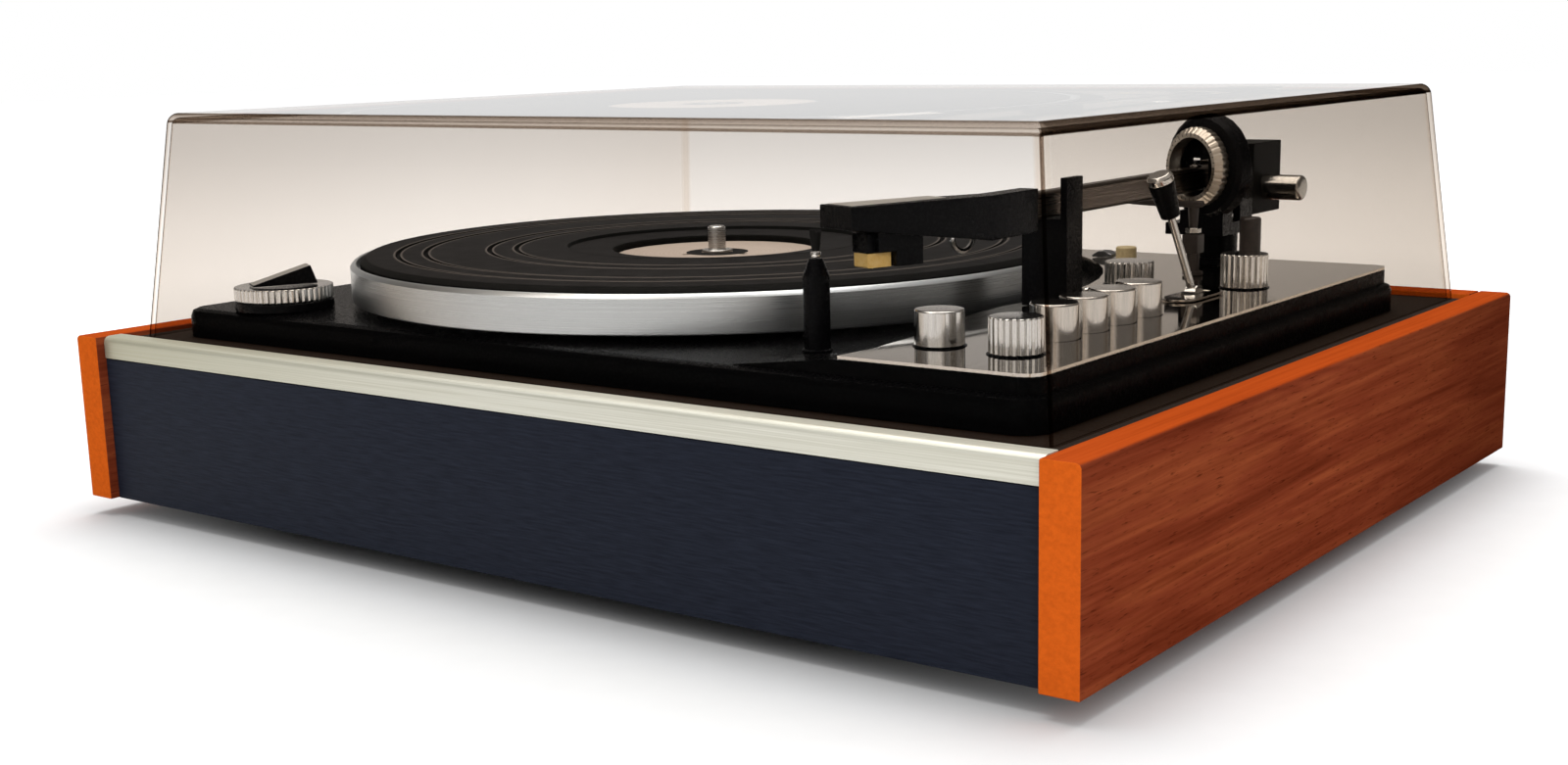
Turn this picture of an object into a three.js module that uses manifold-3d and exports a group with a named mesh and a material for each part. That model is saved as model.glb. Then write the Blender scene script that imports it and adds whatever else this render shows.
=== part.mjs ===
// A record changer in a veneered plinth, under a clear dust cover.
// Millimetres, Z up. Lengths are measured from the front ends of the side panels (Y, to the back),
// from the plinth's middle (X, to the right) and from the side panels' bottom edge (Z).
// The assembly is then moved so that its origin lies under the middle of the plinth, on the floor.
import * as THREE from "three";
import { mergeVertices } from "three/addons/utils/BufferGeometryUtils.js";
import Module from "manifold-3d";

const wasm = await Module();
wasm.setup();

// Clearances
const seatGap = 0.3; // between a piece and what carries it
const runningGap = 0.5; // between a moving piece and the hole it runs in

// Plinth
const plinthWidth = 438;
const plinthDepth = 362;
const plinthHeight = 64;
const sideThickness = 12.5;
const sideEdgeRadius = 1.5;
const panelThickness = 12.5;
const frontRecess = 3.5;
const trimSheet = 1.5;
const trimDrop = 8.5;
const trimReturn = 8;
const trimBendRadius = 2.4;
const ledgeDrop = 2;
const ledgeThickness = 12;
const ledgeReach = 28;
const baseBoardThickness = 4;
const baseBoardLift = 2;
const footHeight = 7;
const footRadius = 10;
const footTaper = 1.2;
const footInsetX = 49;
const footInsetY = 45;

// Dust cover
const coverBottomWidth = 402;
const coverBottomFront = 18;
const coverBottomRear = 348;
const coverTopWidth = 383;
const coverTopFront = 28.5;
const coverTopRear = 339;
const coverTop = 148;
const coverWall = 3;
const coverCornerRadius = 4;
const coverEdgeRadius = 4;

// Deck: a pressed plate with a lower level and a raised level under the control plate
const deckWidth = 381;
const deckFront = 27.5;
const deckRear = 312;
const deckTop = 73;
const deckCornerRadius = 10;
const deckEdgeRadius = 3;
const deckSheet = 2;
const plateTop = 79;
const plateSheet = 1;
const plateRight = 187.5;
const plateFront = 31.5;
const plateRear = 309;
const plateCornerRadius = 6;
const plateTipX = 121;
const plateNoseX = 122.6;
const plateNoseY = 49;
const plateShoulderX = 120.9;
const plateShoulderY = 72;
const plateWaistX = 112.8;
const plateWaistFrontY = 116;
const plateWaistRearY = 143;
const rampStartX = 80;
const rampRearY = 47;

// Platter, mat and spindle
const platterX = -39;
const platterY = 174;
const platterRadius = 144;
const platterToPlate = 9.5; // from the platter's rim to the control plate's curved edge
const plateArcRadius = platterRadius + platterToPlate;
const rimBottom = 75.5;
const rimTop = 89.5;
const rimWall = 4;
const rimLip = 2.5;
const rimChamfer = 0.8;
const platterWeb = 4;
const matFloor = 86;
const hubRadius = 13;
const hubBottom = 76.5;
const matTop = 91.5;
const matOuterRadius = 141;
const matBandStep = 0.4;
const matBandInner = 131;
const matStepRadius = 58.6;
const matInnerRadius = 41.5;
const matInnerThickness = 1.6;
const matRibRise = 0.5;
const matRibWidth = 5.4;
const matGrooveDepth = 0.8;
const matGrooveWidth = 1.8;
const matGrooveRadii = [93, 99];
const discRadius = 40.5;
const discThickness = 0.9;
const discSlotInner = 7;
const discSlotOuter = 15;
const discSlotWidth = 4;
const spindleRadius = 3.55;
const spindleTop = 97.8;
const spindleFlangeRadius = 6.2;
const spindleFlangeThickness = 0.9;
const spindleBottom = 44;
const bearingRadius = 8;
const bearingBottom = 40;
const bearingFlangeRadius = 14;
const bearingFlangeThickness = 1.2;

// Motor, its pulley and the idler wheel that drives the platter's inner rim
const idlerRadius = 21;
const idlerBottom = 76.4;
const idlerThickness = 4;
const idlerShaftRadius = 2.2;
const idlerShaftBottom = 58;
const idlerAngle = 305;
const pulleyRadius = 4;
const pulleyTop = 81.2;
const pulleyShaftRadius = 2.4;
const pulleyAngle = 340;
const motorRadius = 30;
const motorHeight = 34;
const motorTop = 56;
const motorEdge = 4;
const motorPostRadius = 3;
const motorPostCircle = 22;
const idlerBracketWidth = 12;
const idlerBracketThickness = 3;

// Speed selector
const speedX = -151;
const speedY = 47;
const speedRadius = 18.6;
const speedBaseHeight = 3.6;
const speedRingHeight = 5;
const speedFluteDepth = 0.6;
const pointerLength = 24.5;
const pointerWidth = 9;
const pointerHeight = 7;
const pointerTipSlope = 2.4;
const pointerLowHeight = 0.6;
const speedShaftRadius = 4;

// Knobs and push buttons on the control plate
const plainKnobX = 137.5;
const plainKnobY = 61.8;
const plainKnobRadius = 7.7;
const knobTop = 90.3;
const frontKnobX = 165.2;
const frontKnobY = 59.8;
const frontKnobRadius = 8.2;
const innerKnobX = 123;
const innerKnobY = 215.5;
const innerKnobRadius = 9;
const innerKnobTop = 87.6;
const rearKnobX = 164;
const rearKnobY = 225;
const rearKnobRadius = 8.45;
const rearKnobTop = 91.4;
const knobShaftRadius = 3;
const knobShaftDepth = 4;
const knobFluteDepth = 0.45;
const knobShaftRoot = 0.5;
const buttonX = 161;
const buttonFirstY = 90.4;
const buttonPitch = 18.87;
const buttonRadius = 7.7;
const buttonDepth = 2.2;
const buttonEdge = 0.7;
const buttonFlange = 1.6;

// Cue lever
const cueX = 157.7;
const cueY = 196.5;
const cueDrumRadius = 4;
const cueDrumWidth = 4;
const cueStemRadius = 1.4;
const cueGripBottom = 108;
const cueGripTop = 119.6;
const cueCapTop = 122.7;
const cueTopX = 152.5;
const cueTopY = 178;
const cueGripBottomRadius = 3.4;
const cueGripTopRadius = 4.6;
const cuePlateWidth = 13;
const cuePlateFront = 177;
const cuePlateRear = 209;
const cuePlateSheet = 0.8;

// Stylus brush
const brushX = 91;
const brushY = 62.9;
const brushRadius = 4.3;
const brushCollarRadius = 4.9;
const brushCollarHeight = 1;
const brushShoulder = 97.8;
const brushNeckRadius = 2.1;
const brushNeckTop = 103;
const brushFerruleRadius = 1.7;
const brushFerruleTop = 105;
const brushTuftTop = 112;
const brushTuftRadius = 1.3;
const brushTuftFlare = 0.6;
const brushFibreWidth = 0.1;
const brushTuftRoot = 0.5;

// Arm rest
const restWidth = 19.8; // over the ledge and the prong
const restFront = 146.8;
const restDepth = 11.2;
const prongGap = 3.5; // from the bar's side to the prong
const prongWidth = 2.6;
const prongRise = 9.1; // above the arm's middle line

// Arm: all of it lies on a line that runs straight back to the pivot
const pivotX = 125.2;
const pivotY = 288.5;
const pillarTop = 92;
const pivotRise = 22.1; // from the pillar's top to the arm's middle line
const pivotHeight = pillarTop + pivotRise;
const prongTop = pivotHeight + prongRise;
const barWidth = 6;
const prongX = pivotX + barWidth / 2 + prongGap;
const barHeight = 9.2;
const barEdge = 0.8;
const barFrontY = 137.3;
const barStubWidth = 4.4;
const barStubHeight = 6.6;
const barStubFrontY = 117;
const pivotBlockHalfWidth = 6;
const pivotBlockFront = 6;
const pivotBlockRear = 4;
const pivotBlockHeight = 12;
const barTailRadius = 2.5;
const barTailLength = 9;

// Headshell, measured along its own axis from the middle of its front edge
const shellFrontX = 102.75;
const shellFrontY = 57.5;
const shellTurn = 18.8; // degrees between the headshell's axis and the bar
const shellRise = 6.2; // above the arm's middle line
const shellTop = pivotHeight + shellRise;
const shellFrontWidth = 17;
const shellFrontHeight = 7.2;
const shellRearHeight = 14.5;
const shellLength = 56;
const shellTailNearX = 128.9;
const shellTailFarX = 121.5;
const shellTailRearY = 137;
const shellElbowFarX = 120.6;
const shellElbowFarY = 113;
const shellWall = 1.2;
const shellRoof = 3;
const shellPocketFront = 1.6;
const shellPocketRear = 54;

// Cartridge and stylus, along the headshell's axis
const cartridgeNose = 9;
const cartridgeNoseWidth = 8;
const cartridgeFront = 12;
const cartridgeRear = 29.6;
const cartridgeWidth = 12;
const cartridgeDrop = 19.8; // below the headshell's top
const cartridgeBottom = shellTop - cartridgeDrop;
const cartridgeStep = 18.9;
const cartridgeStepRise = 4.7;
const cartridgeStepHeight = cartridgeBottom + cartridgeStepRise;
const stylusFront = 9.4;
const stylusRear = 18.6;
const stylusWidth = 7;
const stylusProud = 0.1; // below the cartridge
const stylusHeight = 4.5;
const stylusBottom = cartridgeBottom - stylusProud;
const stylusTop = stylusBottom + stylusHeight;
const stylusTipAt = 13.9;
const stylusTipLength = 1;
const stylusTipBottom = stylusBottom - stylusTipLength;
const stylusTipRadius = 0.45;
const loopCentre = 48;
const loopRadius = 4.4;
const loopDrop = 4.4;
const loopWire = 0.9;
const loopOffset = 3;

// Gimbal
const pillarRadius = 7.5;
const pillarFlangeRadius = 13;
const pillarFlangeHeight = 2.6;
const pillarPinRadius = 3;
const pillarPinHeight = 4.6;
const dialX = 125.7;
const dialY = 260;
const dialRise = 4.8; // above the arm's middle line
const dialHeight = pivotHeight + dialRise;
const dialRadius = 15.2;
const dialOpening = 11.2;
const dialDepth = 5.7;
const dialFluteDepth = 0.45;
const dialSpigotRadius = 13.1;
const dialSpigotInner = 12.1;
const dialSpigotDepth = 1.8;
const dialTurn = 20; // degrees between the dial's axis and the bar
const housingRadius = 20;
const housingThickness = 8;
const housingEdge = 1.6;
const frameBaseHeight = 4.6;
const frameBaseWidth = 24;
const frameBaseFront = 23;
const frameNeckRise = 5;
const frameNeckDepth = 9;
const cheekInner = 9;
const cheekThickness = 3;
const cheekFront = 7;
const cheekRear = 4.6;
const cheekRise = 5.4; // above the arm's middle line
const cheekTop = pivotHeight + cheekRise;
const cheekPinRadius = 1.6;
const cheekPinLength = 4.4;

// Counterweight with its thumb screw
const weightHalfWidth = 11.5;
const weightFront = 6.2;
const weightRear = 33;
const weightDrop = 16; // below the arm's middle line
const weightRise = 12;
const weightBottom = pivotHeight - weightDrop;
const weightTop = pivotHeight + weightRise;
const weightEdge = 1.2;
const thumbAt = 16.5;
const thumbDrop = 5.7; // below the arm's middle line
const thumbHeight = pivotHeight - thumbDrop;
const thumbRadius = 5;
const thumbLength = 16.5;
const thumbEdge = 1.4;
const thumbShankRadius = 2;
const thumbShankLength = 6;

// Cueing lift and damper post
const liftRadius = 41;
const liftWidth = 5;
const liftSheet = 2.2;
const liftTop = 107.2;
const liftPinRadius = 2;
const liftBlockWidth = 7.6;
const liftBlockDepth = 7.6;
const liftBlockTop = 98;
const liftPinDepth = 12;
const damperX = 150;
const damperY = 262;
const damperRadius = 4;
const damperTop = 100.6;
const damperEdge = 1;

// Rear transit screw and its clip
const transitX = 86;
const transitY = 286;
const transitRadius = 4.2;
const transitHeight = 4.6;
const clipLength = 9;
const clipWidth = 6;
const clipHeight = 2.6;
const clipGap = 1;

// Heights and places that follow
const deckFloor = plinthHeight - ledgeDrop + seatGap;
const raisedTop = plateTop - plateSheet - seatGap;
const knobBottom = plateTop + seatGap;
const innerHalfWidth = plinthWidth / 2 - sideThickness - seatGap;
const panelBack = frontRecess + panelThickness;
const backPanelFront = plinthDepth - panelThickness;
const ledgeTop = plinthHeight - ledgeDrop;

// Angles, in radians
const quarterTurn = Math.PI / 2;
const shellAxis = quarterTurn - THREE.MathUtils.degToRad(shellTurn);
const dialAxis = quarterTurn - THREE.MathUtils.degToRad(dialTurn);
const pointerAxis = THREE.MathUtils.degToRad(62);
const liftSweep = THREE.MathUtils.degToRad(39);
const liftPinTurn = THREE.MathUtils.degToRad(11); // outwards from the arm at rest

// Counts of facets, flutes and fibres
const roundSegments = 24;
const platterSegments = 60;
const cornerSegments = 4;
const knobFlutes = 22;
const speedFlutes = 48;
const dialFlutes = 36;
const discSlots = 3;
const arcSteps = 12;
const motorPosts = 3;
const buttonCount = 4;
const fibreRings = 10;
const fibresPerRing = 5.5;
const fibreSides = 3;
const loopSteps = 8;

function finish(color, roughness, metalness, extra = {}) {
  return new THREE.MeshStandardMaterial({ color, roughness, metalness, ...extra });
}

const veneer = finish(0x8a3a1c, 0.45, 0);
const frontPaint = finish(0x1d2029, 0.5, 0);
const trimMetal = finish(0xd3d2c6, 0.35, 0.8);
const boardBlack = finish(0x2a2420, 0.85, 0);
const footRubber = finish(0x151515, 0.9, 0);
const acrylic = finish(0xe8eef0, 0.05, 0, { transparent: true, opacity: 0.25 });
const deckBlack = finish(0x0d0d0e, 0.2, 0);
const brightPlate = finish(0xb7b4ae, 0.12, 1);
const rimAluminium = finish(0x8f9498, 0.3, 1);
const matRubber = finish(0x2b2727, 0.75, 0);
const discAluminium = finish(0xb9aca4, 0.35, 0.9);
const polishedSteel = finish(0xc4c4c4, 0.12, 1);
const knobAluminium = finish(0xb9b9b6, 0.25, 1);
const blackPlastic = finish(0x101012, 0.35, 0);
const pointerGrey = finish(0x8b8780, 0.45, 0.6);
const armAluminium = finish(0x6d625a, 0.3, 0.9);
const dialSilver = finish(0xa39c92, 0.3, 0.9);
const stylusGold = finish(0xd9b45c, 0.4, 0);
const liftGrey = finish(0x6f6f6f, 0.5, 0.4);
const motorSteel = finish(0x8a8d90, 0.4, 0.9);
const creamPlastic = finish(0xc9bd98, 0.6, 0);

// Solids

function solid(geometry) {
  const bare = geometry.clone();
  bare.deleteAttribute("normal");
  bare.deleteAttribute("uv");
  const merged = mergeVertices(bare, 1e-4);
  return new wasm.Manifold(
    new wasm.Mesh({
      numProp: 3,
      vertProperties: merged.attributes.position.array,
      triVerts: new Uint32Array(merged.index.array),
    }),
  );
}

function geometryOf(body) {
  const { vertProperties, triVerts } = body.getMesh();
  const geometry = new THREE.BufferGeometry();
  geometry.setAttribute("position", new THREE.BufferAttribute(vertProperties, 3));
  geometry.setIndex(new THREE.BufferAttribute(triVerts, 1));
  geometry.computeVertexNormals();
  return geometry;
}

function join(...geometries) {
  const bodies = geometries.map(solid);
  return geometryOf(bodies.reduce((whole, body) => whole.add(body)));
}

function cut(geometry, ...tools) {
  const bodies = tools.map(solid);
  return geometryOf(bodies.reduce((whole, body) => whole.subtract(body), solid(geometry)));
}

function common(geometry, other) {
  return geometryOf(solid(geometry).intersect(solid(other)));
}

// A revolved profile of [radius, height] pairs, its axis upright.
function turned(profile, segments = roundSegments) {
  const points = profile.map(([radius, height]) => new THREE.Vector2(radius, height));
  const geometry = new THREE.LatheGeometry(points, segments);
  geometry.rotateX(quarterTurn);
  return geometry;
}

// A revolved ring: its profile closes on itself.
function turnedRing(profile, segments) {
  return turned([...profile, profile[0]], segments);
}

function cylinder(radius, bottom, top, segments = roundSegments) {
  return turned(
    [
      [0, bottom],
      [radius, bottom],
      [radius, top],
      [0, top],
    ],
    segments,
  );
}

function upright(shape, bottom, top) {
  const geometry = new THREE.ExtrudeGeometry(shape, {
    depth: top - bottom,
    bevelEnabled: false,
    curveSegments: cornerSegments,
  });
  geometry.translate(0, 0, bottom);
  return geometry;
}

function box(left, right, front, rear, bottom, top) {
  const geometry = new THREE.BoxGeometry(right - left, rear - front, top - bottom);
  geometry.translate((left + right) / 2, (front + rear) / 2, (bottom + top) / 2);
  return geometry;
}

// A profile in X and Z, drawn out from front to rear.
function drawnBack(points, front, rear) {
  const geometry = new THREE.ExtrudeGeometry(shapeOf(points), {
    depth: rear - front,
    bevelEnabled: false,
  });
  geometry.applyMatrix4(
    new THREE.Matrix4().makeBasis(
      new THREE.Vector3(1, 0, 0),
      new THREE.Vector3(0, 0, 1),
      new THREE.Vector3(0, -1, 0),
    ),
  );
  geometry.translate(0, rear, 0);
  return geometry;
}

// A profile in Y and Z, drawn out from left to right.
function drawnAcross(points, left, right) {
  const geometry = new THREE.ExtrudeGeometry(shapeOf(points), {
    depth: right - left,
    bevelEnabled: false,
  });
  geometry.applyMatrix4(
    new THREE.Matrix4().makeBasis(
      new THREE.Vector3(0, 1, 0),
      new THREE.Vector3(0, 0, 1),
      new THREE.Vector3(1, 0, 0),
    ),
  );
  geometry.translate(left, 0, 0);
  return geometry;
}

function shapeOf(points) {
  return new THREE.Shape(points.map(([x, y]) => new THREE.Vector2(x, y)));
}

// Turns geometry made upright so that its axis points level, along the given bearing.
function laidAlong(geometry, bearing) {
  geometry.rotateY(quarterTurn);
  geometry.rotateZ(bearing);
  return geometry;
}

function moved(geometry, x, y, z = 0) {
  geometry.translate(x, y, z);
  return geometry;
}

function roundedRectangle(left, right, front, rear, radius) {
  const shape = new THREE.Shape();
  shape.moveTo(left + radius, front);
  shape.lineTo(right - radius, front);
  shape.absarc(right - radius, front + radius, radius, -quarterTurn, 0, false);
  shape.lineTo(right, rear - radius);
  shape.absarc(right - radius, rear - radius, radius, 0, quarterTurn, false);
  shape.lineTo(left + radius, rear);
  shape.absarc(left + radius, rear - radius, radius, quarterTurn, 2 * quarterTurn, false);
  shape.lineTo(left, front + radius);
  shape.absarc(left + radius, front + radius, radius, 2 * quarterTurn, 3 * quarterTurn, false);
  return shape;
}

// A solid through rings of points, each ring convex and counted alike, from the bottom up.
function lofted(rings) {
  const count = rings[0].length;
  const positions = rings.flat().flatMap((point) => point.toArray());
  const faces = [];
  for (let level = 0; level + 1 < rings.length; level += 1) {
    for (let i = 0; i < count; i += 1) {
      const next = (i + 1) % count;
      const low = level * count;
      const high = low + count;
      faces.push(low + i, low + next, high + next, low + i, high + next, high + i);
    }
  }
  const last = (rings.length - 1) * count;
  for (let i = 1; i + 1 < count; i += 1) {
    faces.push(0, i + 1, i, last, last + i, last + i + 1);
  }
  const geometry = new THREE.BufferGeometry();
  geometry.setAttribute("position", new THREE.Float32BufferAttribute(positions, 3));
  geometry.setIndex(faces);
  return geometry;
}

// A disc whose side carries flutes: a flat land, then a notch, once a step.
function fluted(radius, depth, flutes, bottom, top) {
  const points = [];
  for (let i = 0; i < flutes; i += 1) {
    const step = (2 * Math.PI) / flutes;
    for (const [share, inset] of [
      [0, 0],
      [0.6, 0],
      [0.8, depth],
    ]) {
      const angle = (i + share) * step;
      points.push([(radius - inset) * Math.cos(angle), (radius - inset) * Math.sin(angle)]);
    }
  }
  return upright(shapeOf(points), bottom, top);
}

// The assembly

const plinthFrame = new THREE.Group();

function place(name, geometry, material) {
  const mesh = new THREE.Mesh(geometry, material);
  mesh.name = name;
  plinthFrame.add(mesh);
}

// Plinth panels

for (const [name, side] of [
  ["side_panel_left", -1],
  ["side_panel_right", 1],
]) {
  const outer = plinthWidth / 2;
  const inner = outer - sideThickness;
  const ease = sideEdgeRadius / 3;
  const outline = [
    [side * inner, 0],
    [side * outer, 0],
    [side * outer, plinthHeight - sideEdgeRadius],
    [side * (outer - ease), plinthHeight - ease],
    [side * (outer - sideEdgeRadius), plinthHeight],
    [side * (inner + ease), plinthHeight],
    [side * inner, plinthHeight - ease],
  ];
  if (side < 0) {
    outline.reverse();
  }
  place(name, drawnBack(outline, 0, plinthDepth), veneer);
}

{
  const rebate = frontRecess + trimSheet;
  const outline = [
    [frontRecess, 0],
    [panelBack, 0],
    [panelBack, ledgeTop],
    [rebate, ledgeTop],
    [rebate, plinthHeight - trimDrop - seatGap],
    [frontRecess, plinthHeight - trimDrop - seatGap],
  ];
  place("front_panel", drawnAcross(outline, -innerHalfWidth, innerHalfWidth), frontPaint);
}

{
  const face = frontRecess - seatGap;
  const back = face + trimReturn;
  const bend = (radius, sheet) =>
    [0, 1, 2, 3].map((i) => {
      const angle = 2 * quarterTurn - (i * quarterTurn) / 3;
      const reach = radius - sheet;
      return [
        face + radius + reach * Math.cos(angle),
        plinthHeight - radius + reach * Math.sin(angle),
      ];
    });
  const outline = [
    [face, plinthHeight - trimDrop],
    ...bend(trimBendRadius, 0),
    [back, plinthHeight],
    [back, plinthHeight - trimSheet],
    ...bend(trimBendRadius, trimSheet).reverse(),
    [face + trimSheet, plinthHeight - trimDrop],
  ].reverse();
  place("front_trim", drawnAcross(outline, -innerHalfWidth, innerHalfWidth), trimMetal);
}

place(
  "back_panel",
  box(-innerHalfWidth, innerHalfWidth, backPanelFront, plinthDepth - seatGap, 0, plinthHeight),
  veneer,
);

{
  const bottom = ledgeTop - ledgeThickness;
  const front = panelBack + seatGap;
  const rear = backPanelFront - seatGap;
  const frontRear = front + ledgeReach;
  const rearFront = rear - ledgeReach - ledgeReach;
  const sideFront = frontRear + seatGap;
  const sideRear = rearFront - seatGap;
  const inner = innerHalfWidth - ledgeReach;
  place(
    "ledge_front",
    box(-innerHalfWidth, innerHalfWidth, front, frontRear, bottom, ledgeTop),
    boardBlack,
  );
  place(
    "ledge_rear",
    box(-innerHalfWidth, innerHalfWidth, rearFront, rear, bottom, ledgeTop),
    boardBlack,
  );
  place("ledge_left", box(-innerHalfWidth, -inner, sideFront, sideRear, bottom, ledgeTop), boardBlack);
  place("ledge_right", box(inner, innerHalfWidth, sideFront, sideRear, bottom, ledgeTop), boardBlack);
  place(
    "base_board",
    box(
      -innerHalfWidth,
      innerHalfWidth,
      front,
      rear,
      baseBoardLift,
      baseBoardLift + baseBoardThickness,
    ),
    boardBlack,
  );
}

for (const [name, side, y] of [
  ["foot_front_left", -1, footInsetY],
  ["foot_front_right", 1, footInsetY],
  ["foot_rear_left", -1, plinthDepth - footInsetY],
  ["foot_rear_right", 1, plinthDepth - footInsetY],
]) {
  const foot = turned([
    [0, -footHeight],
    [footRadius - footTaper, -footHeight],
    [footRadius, baseBoardLift - seatGap],
    [0, baseBoardLift - seatGap],
  ]);
  place(name, moved(foot, side * (plinthWidth / 2 - footInsetX), y), footRubber);
}

// Dust cover: walls that lean in towards the top, open below

function coverRing(level, inset) {
  const share = (level - ledgeTop) / (coverTop - ledgeTop);
  const half = THREE.MathUtils.lerp(coverBottomWidth, coverTopWidth, share) / 2 - inset;
  const front = THREE.MathUtils.lerp(coverBottomFront, coverTopFront, share) + inset;
  const rear = THREE.MathUtils.lerp(coverBottomRear, coverTopRear, share) - inset;
  const radius = Math.max(coverCornerRadius - inset, coverWall);
  const outline = roundedRectangle(-half, half, front, rear, radius);
  const points = outline.getPoints(cornerSegments).slice(0, -1);
  return points.map((point) => new THREE.Vector3(point.x, point.y, level));
}

{
  const inset = (angle) => coverEdgeRadius * (1 - Math.cos(angle));
  const rise = (angle) => coverTop - coverEdgeRadius * (1 - Math.sin(angle));
  const edge = [0, 1, 2, 3].map((i) => (i * quarterTurn) / 3);
  const outer = lofted([
    coverRing(ledgeTop + seatGap, 0),
    ...edge.map((angle) => coverRing(rise(angle), inset(angle))),
  ]);
  const inner = lofted([
    coverRing(ledgeTop - coverWall, coverWall),
    coverRing(coverTop - coverWall, coverWall),
  ]);
  place("dust_cover", cut(outer, inner), acrylic);
}

// Deck

function plateOutline(inset) {
  const right = plateRight - inset;
  const front = plateFront + inset;
  const rear = plateRear - inset;
  const arc = plateArcRadius + inset;
  const arcStart = Math.asin((rear - platterY) / arc);
  const arcEnd = Math.asin((plateWaistRearY - platterY) / arc);
  const shape = new THREE.Shape();
  shape.moveTo(plateTipX + inset, front);
  shape.lineTo(right - plateCornerRadius, front);
  shape.absarc(
    right - plateCornerRadius,
    front + plateCornerRadius,
    plateCornerRadius,
    -quarterTurn,
    0,
    false,
  );
  shape.lineTo(right, rear - plateCornerRadius);
  shape.absarc(
    right - plateCornerRadius,
    rear - plateCornerRadius,
    plateCornerRadius,
    0,
    quarterTurn,
    false,
  );
  shape.lineTo(platterX + arc * Math.cos(arcStart), rear);
  const steps = arcSteps;
  for (let i = 1; i <= steps; i += 1) {
    const angle = THREE.MathUtils.lerp(arcStart, arcEnd, i / steps);
    shape.lineTo(platterX + arc * Math.cos(angle), platterY + arc * Math.sin(angle));
  }
  shape.lineTo(plateWaistX + inset, plateWaistFrontY);
  shape.lineTo(plateShoulderX + inset, plateShoulderY);
  shape.lineTo(plateNoseX + inset, plateNoseY);
  return shape;
}

const shafts = [
  [plainKnobX, plainKnobY],
  [frontKnobX, frontKnobY],
  [innerKnobX, innerKnobY],
  [rearKnobX, rearKnobY],
];
const buttonPlaces = Array.from({ length: buttonCount }, (_, i) => [
  buttonX,
  buttonFirstY + i * buttonPitch,
]);

function holesThrough(bottom, top) {
  return [
    ...shafts.map(([x, y]) =>
      moved(cylinder(knobShaftRadius + runningGap, bottom, top), x, y),
    ),
    ...buttonPlaces.map(([x, y]) =>
      moved(cylinder(buttonRadius + runningGap, bottom, top), x, y),
    ),
    box(
      cueX - cueDrumWidth / 2 - runningGap,
      cueX + cueDrumWidth / 2 + runningGap,
      cueY - cueDrumRadius - runningGap,
      cueY + cueDrumRadius + runningGap,
      bottom,
      top,
    ),
  ];
}

const idlerReach = platterRadius - rimWall - seatGap - idlerRadius;
const idlerBearing = THREE.MathUtils.degToRad(idlerAngle);
const idlerX = platterX + idlerReach * Math.cos(idlerBearing);
const idlerY = platterY + idlerReach * Math.sin(idlerBearing);
const pulleyReach = idlerRadius + pulleyRadius + seatGap;
const pulleyBearing = THREE.MathUtils.degToRad(pulleyAngle) - Math.PI;
const pulleyX = idlerX + pulleyReach * Math.cos(pulleyBearing);
const pulleyY = idlerY + pulleyReach * Math.sin(pulleyBearing);

{
  const lower = roundedRectangle(
    -deckWidth / 2 + deckEdgeRadius,
    deckWidth / 2 - deckEdgeRadius,
    deckFront + deckEdgeRadius,
    deckRear - deckEdgeRadius,
    deckCornerRadius - deckEdgeRadius,
  );
  const slab = new THREE.ExtrudeGeometry(lower, {
    depth: deckTop - deckFloor,
    bevelThickness: deckEdgeRadius,
    bevelSize: deckEdgeRadius,
    bevelSegments: 2,
    curveSegments: cornerSegments,
  });
  slab.translate(0, 0, deckFloor - deckEdgeRadius);
  const skirt = deckWidth;
  const below = box(-skirt, skirt, 0, plinthDepth, 0, deckFloor);
  const pocket = upright(
    roundedRectangle(
      -deckWidth / 2 + deckSheet,
      deckWidth / 2 - deckSheet,
      deckFront + deckSheet,
      deckRear - deckSheet,
      deckCornerRadius - deckSheet,
    ),
    0,
    deckTop - deckSheet,
  );
  const raised = upright(plateOutline(0), deckTop - deckSheet, raisedTop);
  const raisedPocket = upright(plateOutline(deckSheet), 0, raisedTop - deckSheet);
  const ramp = drawnBack(
    [
      [rampStartX, deckTop],
      [rampStartX, deckTop - deckSheet / 2],
      [plateTipX + deckSheet, deckTop - deckSheet / 2],
      [plateTipX + deckSheet, raisedTop],
      [plateTipX - deckSheet, raisedTop],
    ],
    plateFront,
    rampRearY,
  );
  place(
    "unit_plate",
    cut(
      join(slab, raised, ramp),
      below,
      pocket,
      raisedPocket,
      moved(cylinder(bearingRadius + seatGap, 0, plinthHeight * 2), platterX, platterY),
      moved(cylinder(idlerShaftRadius + runningGap, 0, plinthHeight * 2), idlerX, idlerY),
      moved(cylinder(pulleyShaftRadius + runningGap, 0, plinthHeight * 2), pulleyX, pulleyY),
      moved(cylinder(speedShaftRadius + seatGap, 0, plinthHeight * 2), speedX, speedY),
      ...holesThrough(deckTop, plateTop),
    ),
    deckBlack,
  );
  place(
    "control_plate",
    cut(upright(plateOutline(0), plateTop - plateSheet, plateTop), ...holesThrough(0, plateTop * 2)),
    brightPlate,
  );
}

// Platter, mat, disc and spindle

{
  const top = matFloor;
  const platter = turnedRing(
    [
      [spindleRadius + seatGap, hubBottom],
      [hubRadius, hubBottom],
      [hubRadius, top - platterWeb],
      [platterRadius - rimWall, top - platterWeb],
      [platterRadius - rimWall, rimBottom],
      [platterRadius - rimChamfer, rimBottom],
      [platterRadius, rimBottom + rimChamfer],
      [platterRadius, rimTop - rimChamfer],
      [platterRadius - rimChamfer, rimTop],
      [platterRadius - rimLip, rimTop],
      [platterRadius - rimLip, top],
      [spindleRadius + seatGap, top],
    ],
    platterSegments,
  );
  place("platter", moved(platter, platterX, platterY), rimAluminium);
}

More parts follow.
